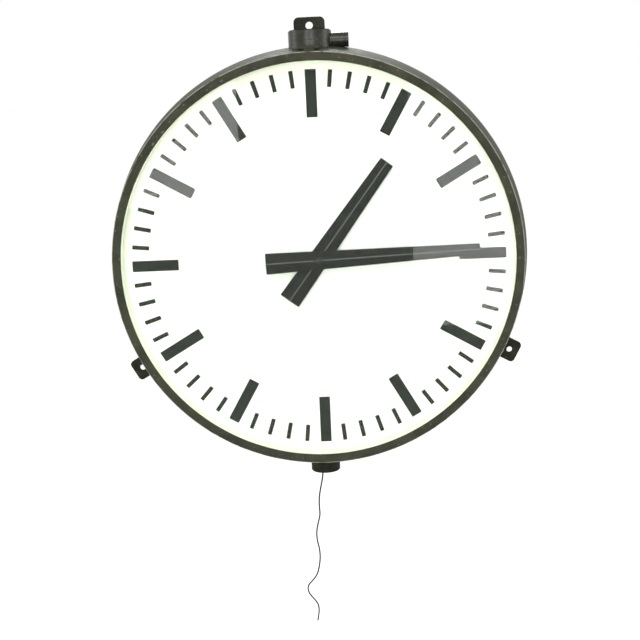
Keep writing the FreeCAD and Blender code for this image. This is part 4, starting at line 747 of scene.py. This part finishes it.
SCREW_RADIUS = 2.5
SCREW_COLLAR_RADIUS = 3.7
SCREW_COLLAR_START = 312.7
SCREW_COLLAR_END = 313.3
SCREW_HEAD_RADIUS = 4.2
SCREW_HEAD_HEIGHT = 3.0
SCREW_HEAD_RISE = 1.0
SCREW_SLOT = (12.0, 1.2, 3.0)


def make_latch_screw():
    """Slotted cheese-head screw, held captive by its collar."""
    seat = flank(LATCH_DEPTH) + SCREW_HEAD_RISE
    top = seat + SCREW_HEAD_HEIGHT
    outline = [(0, SCREW_COLLAR_START), (SCREW_COLLAR_RADIUS, SCREW_COLLAR_START),
               (SCREW_COLLAR_RADIUS, SCREW_COLLAR_END), (SCREW_RADIUS, SCREW_COLLAR_END),
               (SCREW_RADIUS, seat), (SCREW_HEAD_RADIUS, seat), (SCREW_HEAD_RADIUS, top), (0, top)]
    screw = turned("door_screw", outline, -ALONG_Z, centre=spot(0, LATCH_DEPTH, 0), steps=48)
    cut(screw, block("slot", SCREW_SLOT, spot(0, LATCH_DEPTH, -top)))
    soften(screw, FITTING_ROUNDING)
    fit_both_sides(screw, "latch", FINISH["matt_enamel"], "steel", "latch_screw")


# ---------------------------------------------------------------- suspension

BOSS_RADIUS = 33.0
BOSS_BORE = 27.0
BOSS_BOTTOM = 319.6
BOSS_JOINT = 332.5
BOSS_TOP = 347.0
BOSS_STEPS = 96
BOSS_ROUNDING = 0.45
DISC_RADIUS = 30.75
DISC_TOP = 348.4
DISC_ROUNDING = 0.4
LUG_SEAT = 341.0
LUG_SLOT = (47.9, 8.4, 20.0)
LUG_SLOT_UP = 344.0
GLAND_UP = 332.0
CABLE_WAY_RADIUS = 7.8
CABLE_WAY_RIGHT = 30.0


def cut_lug_slot(piece):
    """The slot that the hanging lug comes up through."""
    return cut(piece, block("lug_slot", LUG_SLOT, spot(0, 0, LUG_SLOT_UP)))


def cut_cable_way(piece):
    """The hole by which a cable passes from the gland into the boss."""
    way_at = spot(CABLE_WAY_RIGHT, 0, GLAND_UP)
    return cut(piece, rod("cable_way", CABLE_WAY_RADIUS, SHORT_CUT, way_at, SIDEWAYS))


def make_boss():
    """The top boss in two turned parts, with a fine joint between them, and the disc on top."""
    outline = [(BOSS_BORE, BOSS_BOTTOM), (BOSS_RADIUS, BOSS_BOTTOM), (BOSS_RADIUS, BOSS_JOINT),
               (BOSS_BORE, BOSS_JOINT)]
    tube = cut_cable_way(turned("boss_tube", outline, ALONG_Z, steps=BOSS_STEPS))
    fit(soften(tube, BOSS_ROUNDING), "case", FINISH["turned_enamel"], "case_paint", "boss_base")

    outline = [(BOSS_BORE, BOSS_JOINT), (BOSS_RADIUS, BOSS_JOINT), (BOSS_RADIUS, BOSS_TOP), (0, BOSS_TOP),
               (0, LUG_SEAT), (BOSS_BORE, LUG_SEAT)]
    head = cut_cable_way(turned("boss_cap", outline, ALONG_Z, steps=BOSS_STEPS))
    cut_lug_slot(head)
    fit(soften(head, BOSS_ROUNDING), "case", FINISH["turned_enamel"], "case_paint", "boss_head")

    outline = [(0, BOSS_TOP), (DISC_RADIUS, BOSS_TOP), (DISC_RADIUS, DISC_TOP), (0, DISC_TOP)]
    disc = cut_lug_slot(turned("boss_plate", outline, ALONG_Z, steps=BOSS_STEPS, closed=False))
    fit(soften(disc, DISC_ROUNDING), "case", FINISH["moulded_rubber"], "case_paint", "boss_disc")


def lug_plate(name, half, root, top, corner, thickness_mm):
    """A plate of a half width that stands up from its root, with its two free corners rounded."""
    points = [(-half, root), (half, root)]
    points += arc((half - corner, top - corner), corner, 0, 90)
    points += arc((corner - half, top - corner), corner, 90, 180)
    return plate(name, points, thickness_mm)


HANGING_LUG = {"half": 23.75, "root": LUG_SEAT, "top": 367.7, "corner": 7.7, "thickness_mm": 8.0}
HANGING_HOLE = 5.75
HANGING_ROUNDING = 0.7
FOOT_RADIUS = 26.6
FOOT_BOTTOM = 337.5
FOOT_ROUNDING = 0.4


def make_hanging_lug():
    """A thick plate with two rounded corners, welded to a round foot inside the boss."""
    lug = lug_plate("lug", **HANGING_LUG)
    cut(lug, rod("hole", HANGING_HOLE, LONG_CUT, spot(0, 0, HANG_DROP), FACING, sides=64))
    outline = [(0, FOOT_BOTTOM), (FOOT_RADIUS, FOOT_BOTTOM), (FOOT_RADIUS, LUG_SEAT), (0, LUG_SEAT)]
    foot = turned("foot", outline, ALONG_Z, closed=False)
    soften(lug, HANGING_ROUNDING)
    soften(foot, FOOT_ROUNDING)
    fit(join(lug, foot), "case", FINISH["matt_enamel"], "case_paint", "hanging_lug")


# The gland lies along X: its distances are from the clock's axis, to the right.
GLAND_ROOT = 28.5
GLAND_END = 54.3
GLAND_RADIUS = 11.25
GLAND_BORE = 6.8
GLAND_ROUNDING = 0.5
SEAL_START = 44.3
SEAL_RADIUS = 8.4
SEAL_BORE = 6.0
COLLAR_END = 59.3
COLLAR_RADIUS = 11.0
COLLAR_BORE = 7.2
COLLAR_STEPS = 72
COLLAR_ROUNDING = 0.15
RIB_ANGLE = 5
RIB_HEIGHT = 0.5


def raise_ribs(collar, axis_at):
    """Raises every other strip along the outside of the gland's collar."""
    bpy.ops.object.mode_set(mode="EDIT")
    bpy.ops.mesh.select_all(action="DESELECT")
    bpy.ops.object.mode_set(mode="OBJECT")
    for face in collar.data.polygons:
        out = face.center - axis_at
        out.x = 0
        strip = int((math.degrees(math.atan2(out.z, out.y)) + 360) // RIB_ANGLE)
        outside = out.length > (COLLAR_RADIUS - RIB_HEIGHT) * MM and abs(face.normal.x) < 0.5
        face.select = outside and strip % 2 == 0
    bpy.ops.object.mode_set(mode="EDIT")
    bpy.ops.mesh.select_mode(type="FACE")
    bpy.ops.mesh.extrude_region_shrink_fatten(TRANSFORM_OT_shrink_fatten={"value": RIB_HEIGHT * MM})
    bpy.ops.object.mode_set(mode="OBJECT")


def make_gland():
    """Cable gland on the boss's right: body, rubber seal and a ribbed collar."""
    axis_at = spot(0, 0, GLAND_UP)
    outline = [(GLAND_BORE, GLAND_ROOT), (GLAND_RADIUS, GLAND_ROOT), (GLAND_RADIUS, GLAND_END),
               (SEAL_RADIUS, GLAND_END), (SEAL_RADIUS, SEAL_START), (GLAND_BORE, SEAL_START)]
    body = turned("gland_barrel", outline, ALONG_X, centre=axis_at, steps=64)
    fit(soften(body, GLAND_ROUNDING), "case", FINISH["turned_enamel"], "case_paint", "gland_body")

    outline = [(SEAL_BORE, SEAL_START), (SEAL_RADIUS, SEAL_START), (SEAL_RADIUS, GLAND_END),
               (SEAL_BORE, GLAND_END)]
    seal = turned("gland_rubber", outline, ALONG_X, centre=axis_at, steps=48)
    fit(soften(seal, FITTING_ROUNDING), "case", FINISH["moulded_rubber"], "rubber", "gland_seal")

    outline = [(COLLAR_BORE, GLAND_END), (COLLAR_RADIUS, GLAND_END), (COLLAR_RADIUS, COLLAR_END),
               (COLLAR_BORE, COLLAR_END)]
    collar = turned("gland_collar", outline, ALONG_X, centre=axis_at, steps=COLLAR_STEPS)
    raise_ribs(collar, axis_at)
    soften(collar, COLLAR_ROUNDING, segments=2)
    fit(collar, "case", FINISH["turned_enamel"], "case_paint", "gland_nut")


GUY_LUG = {"half": 17.0, "root": 321.0, "top": 348.6, "corner": 6.3, "thickness_mm": 5.0}
GUY_HOLE = 4.5
GUY_HOLE_UP = 334.3
GUY_ROUNDING = 0.6
RIGHT_LUG_AT = 118.4
LEFT_LUG_AT = 240.1


def make_guy_lug(name, degrees, node):
    """A plate that stands out of the case's seam, with a hole for a guy."""
    lug = lug_plate(name, **GUY_LUG)
    cut(lug, rod("hole", GUY_HOLE, LONG_CUT, spot(0, 0, GUY_HOLE_UP), FACING, sides=48))
    soften(lug, GUY_ROUNDING)
    lug.data.transform(about_centre(degrees))
    fit(lug, "case", FINISH["matt_enamel"], "case_paint", node)


CAP_LOW = -345.6
CAP_TOP = -319.0
CAP_RADIUS = 23.0
CAP_WALL = 2.5
CAP_CORNER = 3.0
CAP_LEFT = 4.0
CAP_ROUNDING = 0.35
CAP_HOLE = 3.0
CAP_HOLE_RISE = 1.0
CORD_LEFT = 9.4
GROMMET_FLANGE = 4.2
GROMMET_NOSE = 3.6
GROMMET_LIP = 1.0
GROMMET_ROUNDING = 0.2


def make_bottom_cap():
    """Turned cap with a rounded foot, and the grommet that the flex leaves by."""
    floor = CAP_LOW + CAP_WALL
    outline = [(0, CAP_LOW)]
    outline += arc((CAP_RADIUS - CAP_CORNER, CAP_LOW + CAP_CORNER), CAP_CORNER, -90, 0, steps=6)
    outline += [(CAP_RADIUS, CAP_TOP), (CAP_RADIUS - CAP_WALL, CAP_TOP), (CAP_RADIUS - CAP_WALL, floor),
                (0, floor)]
    cap = turned("cap", outline, ALONG_Z, centre=spot(-CAP_LEFT, 0, 0), steps=96, closed=False)
    cut(cap, rod("hole", CAP_HOLE, SHORT_CUT, spot(-CORD_LEFT, 0, CAP_LOW + CAP_HOLE_RISE)))
    fit(soften(cap, CAP_ROUNDING), "case", FINISH["matt_enamel"], "case_paint", "bottom_cap")

    outline = [(CORD_RADIUS, CAP_LOW - GROMMET_LIP), (GROMMET_NOSE, CAP_LOW - GROMMET_LIP),
               (GROMMET_FLANGE, CAP_LOW), (CAP_HOLE, CAP_LOW), (CAP_HOLE, floor),
               (GROMMET_FLANGE, floor), (GROMMET_FLANGE, floor + GROMMET_LIP),
               (CORD_RADIUS, floor + GROMMET_LIP)]
    grommet = turned("grommet", outline, ALONG_Z, centre=spot(-CORD_LEFT, 0, 0), steps=40)
    soften(grommet, GROMMET_ROUNDING)
    fit(grommet, "case", FINISH["moulded_rubber"], "rubber", "cord_grommet")


# ---------------------------------------------------------------- hands

HAND_SHEET = 1.2
HAND_RISE = 2.5
HAND_ROUNDING = 0.35
HAND_FOLD = 12
HAND_CUT = 30.0
# The angle is past twelve, the plane is the sheet's edge in front of the case's middle, the hole is
# in the sheet and the bore in its collet.
MINUTE_HAND = {"angle": 88.1, "plane": 54.0, "tip": 247.5, "tail": 80.5, "tip_width": 16.8,
               "tail_width": 32.3, "hole": 5.85, "bore": 3.0}
HOUR_HAND = {"angle": 37.3, "plane": 47.2, "tip": 182.5, "tail": 77.5, "tip_width": 22.4,
             "tail_width": 34.0, "hole": 5.0, "bore": 5.0}
COLLET_RADIUS = 8.5
COLLET_HEIGHT = 3.8
COLLET_PROUD = 1.0


def make_hand(name, hand):
    """A tapered strip folded along its middle, drawn across its tail and drawn out to its tip."""
    half = hand["tail_width"] / 2
    plane = hand["plane"]
    section = [(-half, plane), (0, plane + HAND_RISE), (half, plane), (half, plane - HAND_SHEET),
               (0, plane + HAND_RISE - HAND_SHEET), (-half, plane - HAND_SHEET)]
    tail = CENTRE - ALONG_Z * hand["tail"] * MM
    tip = CENTRE + ALONG_Z * hand["tip"] * MM
    piece = draw_outline(name, [tail + (ALONG_X * x + ALONG_Y * depth) * MM for x, depth in section])
    bpy.ops.mesh.edge_face_add()
    bpy.ops.mesh.extrude_region_move(TRANSFORM_OT_translate={"value": tip - tail})
    bpy.ops.transform.resize(value=(hand["tip_width"] / hand["tail_width"], 1, 1), center_override=tip)
    close_up(piece)
    cut(piece, rod("hole", hand["hole"], HAND_CUT, spot(0, plane, 0), FACING))
    soften(piece, HAND_ROUNDING, segments=3, sharper_than=HAND_FOLD)

    front = plane + COLLET_PROUD
    back = front - COLLET_HEIGHT
    outline = [(hand["bore"], back), (COLLET_RADIUS, back), (COLLET_RADIUS, front), (hand["bore"], front)]
    collet = turned("collet", outline, ALONG_Y, steps=48)
    join(piece, soften(collet, FITTING_ROUNDING))
    piece.data.transform(about_centre(hand["angle"]))
    return piece


def make_hands():
    """Both hands of each dial, each painted for its own side and angle."""
    for body, hand in (("minute", MINUTE_HAND), ("hour", HOUR_HAND)):
        name = f"{body}_pointer"
        paint = {side: hand_paint(f"{side}_{name}_paint", side, hand["angle"]) for side in SIDES}
        fit_both_sides(make_hand(name, hand), body, paint, "hand_paint", f"{body}_hand")


NUT_RADIUS = 5.75
NUT_BORE = 3.0
NUT_HEIGHT = 4.6
NUT_ROUND = 1.6
NUT_ROOF = 1.4
NUT_ROUNDING = 0.2


def make_hub_nut():
    """Domed nut over the end of the minute arbor."""
    seat = MINUTE_HAND["plane"] + COLLET_PROUD
    top = seat + NUT_HEIGHT
    outline = [(NUT_BORE, seat), (NUT_RADIUS, seat), (NUT_RADIUS, top - NUT_ROUND)]
    outline += arc((NUT_RADIUS - NUT_ROUND, top - NUT_ROUND), NUT_ROUND, 0, 90, steps=4)
    outline += [(0, top), (0, top - NUT_ROOF), (NUT_BORE, top - NUT_ROOF)]
    nut = soften(turned("hub", outline, ALONG_Y, steps=48), NUT_ROUNDING)
    fit_both_sides(nut, "minute", FINISH["matt_enamel"], "hand_paint", "hub_nut")


make_case_ring()
make_door_ring()
make_cover_glass()
make_reveal_ring()
make_gasket()
make_latch_screw()
make_boss()
make_hanging_lug()
make_gland()
make_guy_lug("right_lug", RIGHT_LUG_AT, "right_guy_lug")
make_guy_lug("left_lug", LEFT_LUG_AT, "left_guy_lug")
make_bottom_cap()
make_hands()
make_hub_nut()


# ---------------------------------------------------------------- CAD nodes that keep their shape

# Nodes of the front and the rear alike, and nodes that are there once.
SIDE_FINISHES = {
    "dial": "opal_acrylic", "dial_marks": "printed_ink",
    "back_plate": "rolled_brass", "front_plate": "rolled_brass", "minute_arbor": "rolled_brass",
    "hour_wheel": "rolled_brass", "motion_wheel": "rolled_brass", "drive_wheel": "rolled_brass",
    "rotor": "zinc_plate",
}
SINGLE_FINISHES = {
    "hinge_leaves": "case_enamel", "hinge_pins": "case_enamel", "bar_screws": "zinc_plate",
    "dial_screws": "zinc_plate", "stators": "zinc_plate", "coils": "varnished_copper",
    "movement_bar": "zinc_plate", "lamp_clips": "zinc_plate", "ring_lamps": "phosphor_tube",
    "ballast": "ballast_paint", "terminal_block": "terminal_nylon", "inner_lead": "pvc_flex",
}


def finish_nodes():
    """New finishes for the CAD nodes that are shown as they are."""
    chosen = {f"{side}_{node}": name for side in SIDES for node, name in SIDE_FINISHES.items()}
    for node, name in {**chosen, **SINGLE_FINISHES}.items():
        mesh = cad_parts[node].data
        mesh.materials.clear()
        mesh.materials.append(FINISH[name])


finish_nodes()


# ---------------------------------------------------------------- studio

# Places and sizes are in metres here, and the lamps' strengths in watts.
FLOOR_BELOW = 1.9
FLOOR_SIZE = 40.0
FLOOR_GLOW = 0.95
WORLD_LEVEL = 0.11


def seen_directly(tree):
    """1 for the rays that show a background: the camera's, and those by way of gloss and glass."""
    path = add_node(tree, "ShaderNodeLightPath").outputs
    by_gloss = number(tree, "MAXIMUM", path["Is Glossy Ray"], path["Is Transmission Ray"])
    seen = number(tree, "MAXIMUM", path["Is Camera Ray"], by_gloss)
    before_a_bounce = number(tree, "LESS_THAN", path["Diffuse Depth"], 0.5)
    return number(tree, "MULTIPLY", seen, before_a_bounce)


def make_world():
    """Plain white light on the object, and a white background where it is seen directly."""
    world = bpy.data.worlds.new("studio")
    bpy.context.scene.world = world
    world.use_nodes = True
    tree = world.node_tree
    tree.nodes.clear()
    level = add_node(tree, "ShaderNodeMapRange", {"Value": seen_directly(tree), "To Min": WORLD_LEVEL,
                                                  "To Max": 1.0}).outputs["Result"]
    light = add_node(tree, "ShaderNodeBackground", {"Color": (1, 1, 1, 1), "Strength": level})
    add_node(tree, "ShaderNodeOutputWorld", {"Surface": light.outputs[0]})


# Matt pale paint on the studio's floor: it takes the clock's soft shadow.
def pale_floor():
    material = bpy.data.materials.new("pale_floor")
    material.use_nodes = True
    tree = material.node_tree
    tree.nodes.clear()
    paint = add_node(tree, "ShaderNodeBsdfDiffuse", {"Color": linear("#e6e6e4")})
    glow = add_node(tree, "ShaderNodeEmission", {"Color": (1, 1, 1, 1), "Strength": FLOOR_GLOW})
    nothing = add_node(tree, "ShaderNodeEmission", {"Strength": 0.0})
    seen = add_node(tree, "ShaderNodeMixShader",
                    {0: seen_directly(tree), 1: nothing.outputs[0], 2: glow.outputs[0]})
    both = add_node(tree, "ShaderNodeAddShader", {0: paint.outputs[0], 1: seen.outputs[0]})
    add_node(tree, "ShaderNodeOutputMaterial", {"Surface": both.outputs[0]})
    return material


def make_floor():
    """A pale floor well under the clock, bright enough where seen directly to join the backdrop."""
    floor = start_mesh("plane", "studio_floor", size=FLOOR_SIZE, location=(0, 0, -FLOOR_BELOW))
    put_in_mesh(floor)
    floor.data.materials.append(pale_floor())


KEY_SIZE = (1.3, 0.6)
KEY_AWAY = 2.2
KEY_UP = 1.5
FRONT_KEY = 29
REAR_KEY = 50
FILL_SIZE = (1.6, 1.6)
FILL_AWAY = 3.2
FILL_UP = 0.9
FILL = 40
WINDOW_AWAY = 3.0
LEFT_WINDOW = {"right": -0.72, "up": -0.05, "size": (0.66, 0.84), "watts": 20}
RIGHT_WINDOW = {"right": 0.6, "up": -0.33, "size": (0.7, 1.26), "watts": 29}


def make_lamp(name, middle, size, watts, target=CENTRE):
    """A soft rectangular lamp, seen only as a gleam: neither directly nor through the glass."""
    bpy.ops.object.light_add(type="AREA", location=middle)
    lamp = bpy.context.object
    lamp.name = name
    lamp.rotation_euler = (Vector(target) - Vector(middle)).to_track_quat("-Z", "Y").to_euler()
    lamp.data.shape = "RECTANGLE"
    lamp.data.size, lamp.data.size_y = size
    lamp.data.energy = watts
    lamp.visible_camera = False
    lamp.visible_transmission = False


def make_window(name, window):
    """A bright window straight in front, which the front glass mirrors over a part of the dial."""
    right, up = window["right"], window["up"]
    make_lamp(name, (right, -WINDOW_AWAY, up), window["size"], window["watts"], target=(right, 0, up))


def make_lights():
    """Soft light from above on each side and from both ends, and two windows in front."""
    make_lamp("front_key", (0, -KEY_AWAY, KEY_UP), KEY_SIZE, FRONT_KEY)
    make_lamp("rear_key", (0, KEY_AWAY, KEY_UP), KEY_SIZE, REAR_KEY)
    make_lamp("left_fill", (-FILL_AWAY, 0, FILL_UP), FILL_SIZE, FILL)
    make_lamp("right_fill", (FILL_AWAY, 0, FILL_UP), FILL_SIZE, FILL)
    make_window("left_window", LEFT_WINDOW)
    make_window("right_window", RIGHT_WINDOW)


make_world()
make_floor()
make_lights()

bpy.context.scene.view_settings.view_transform = "Standard"
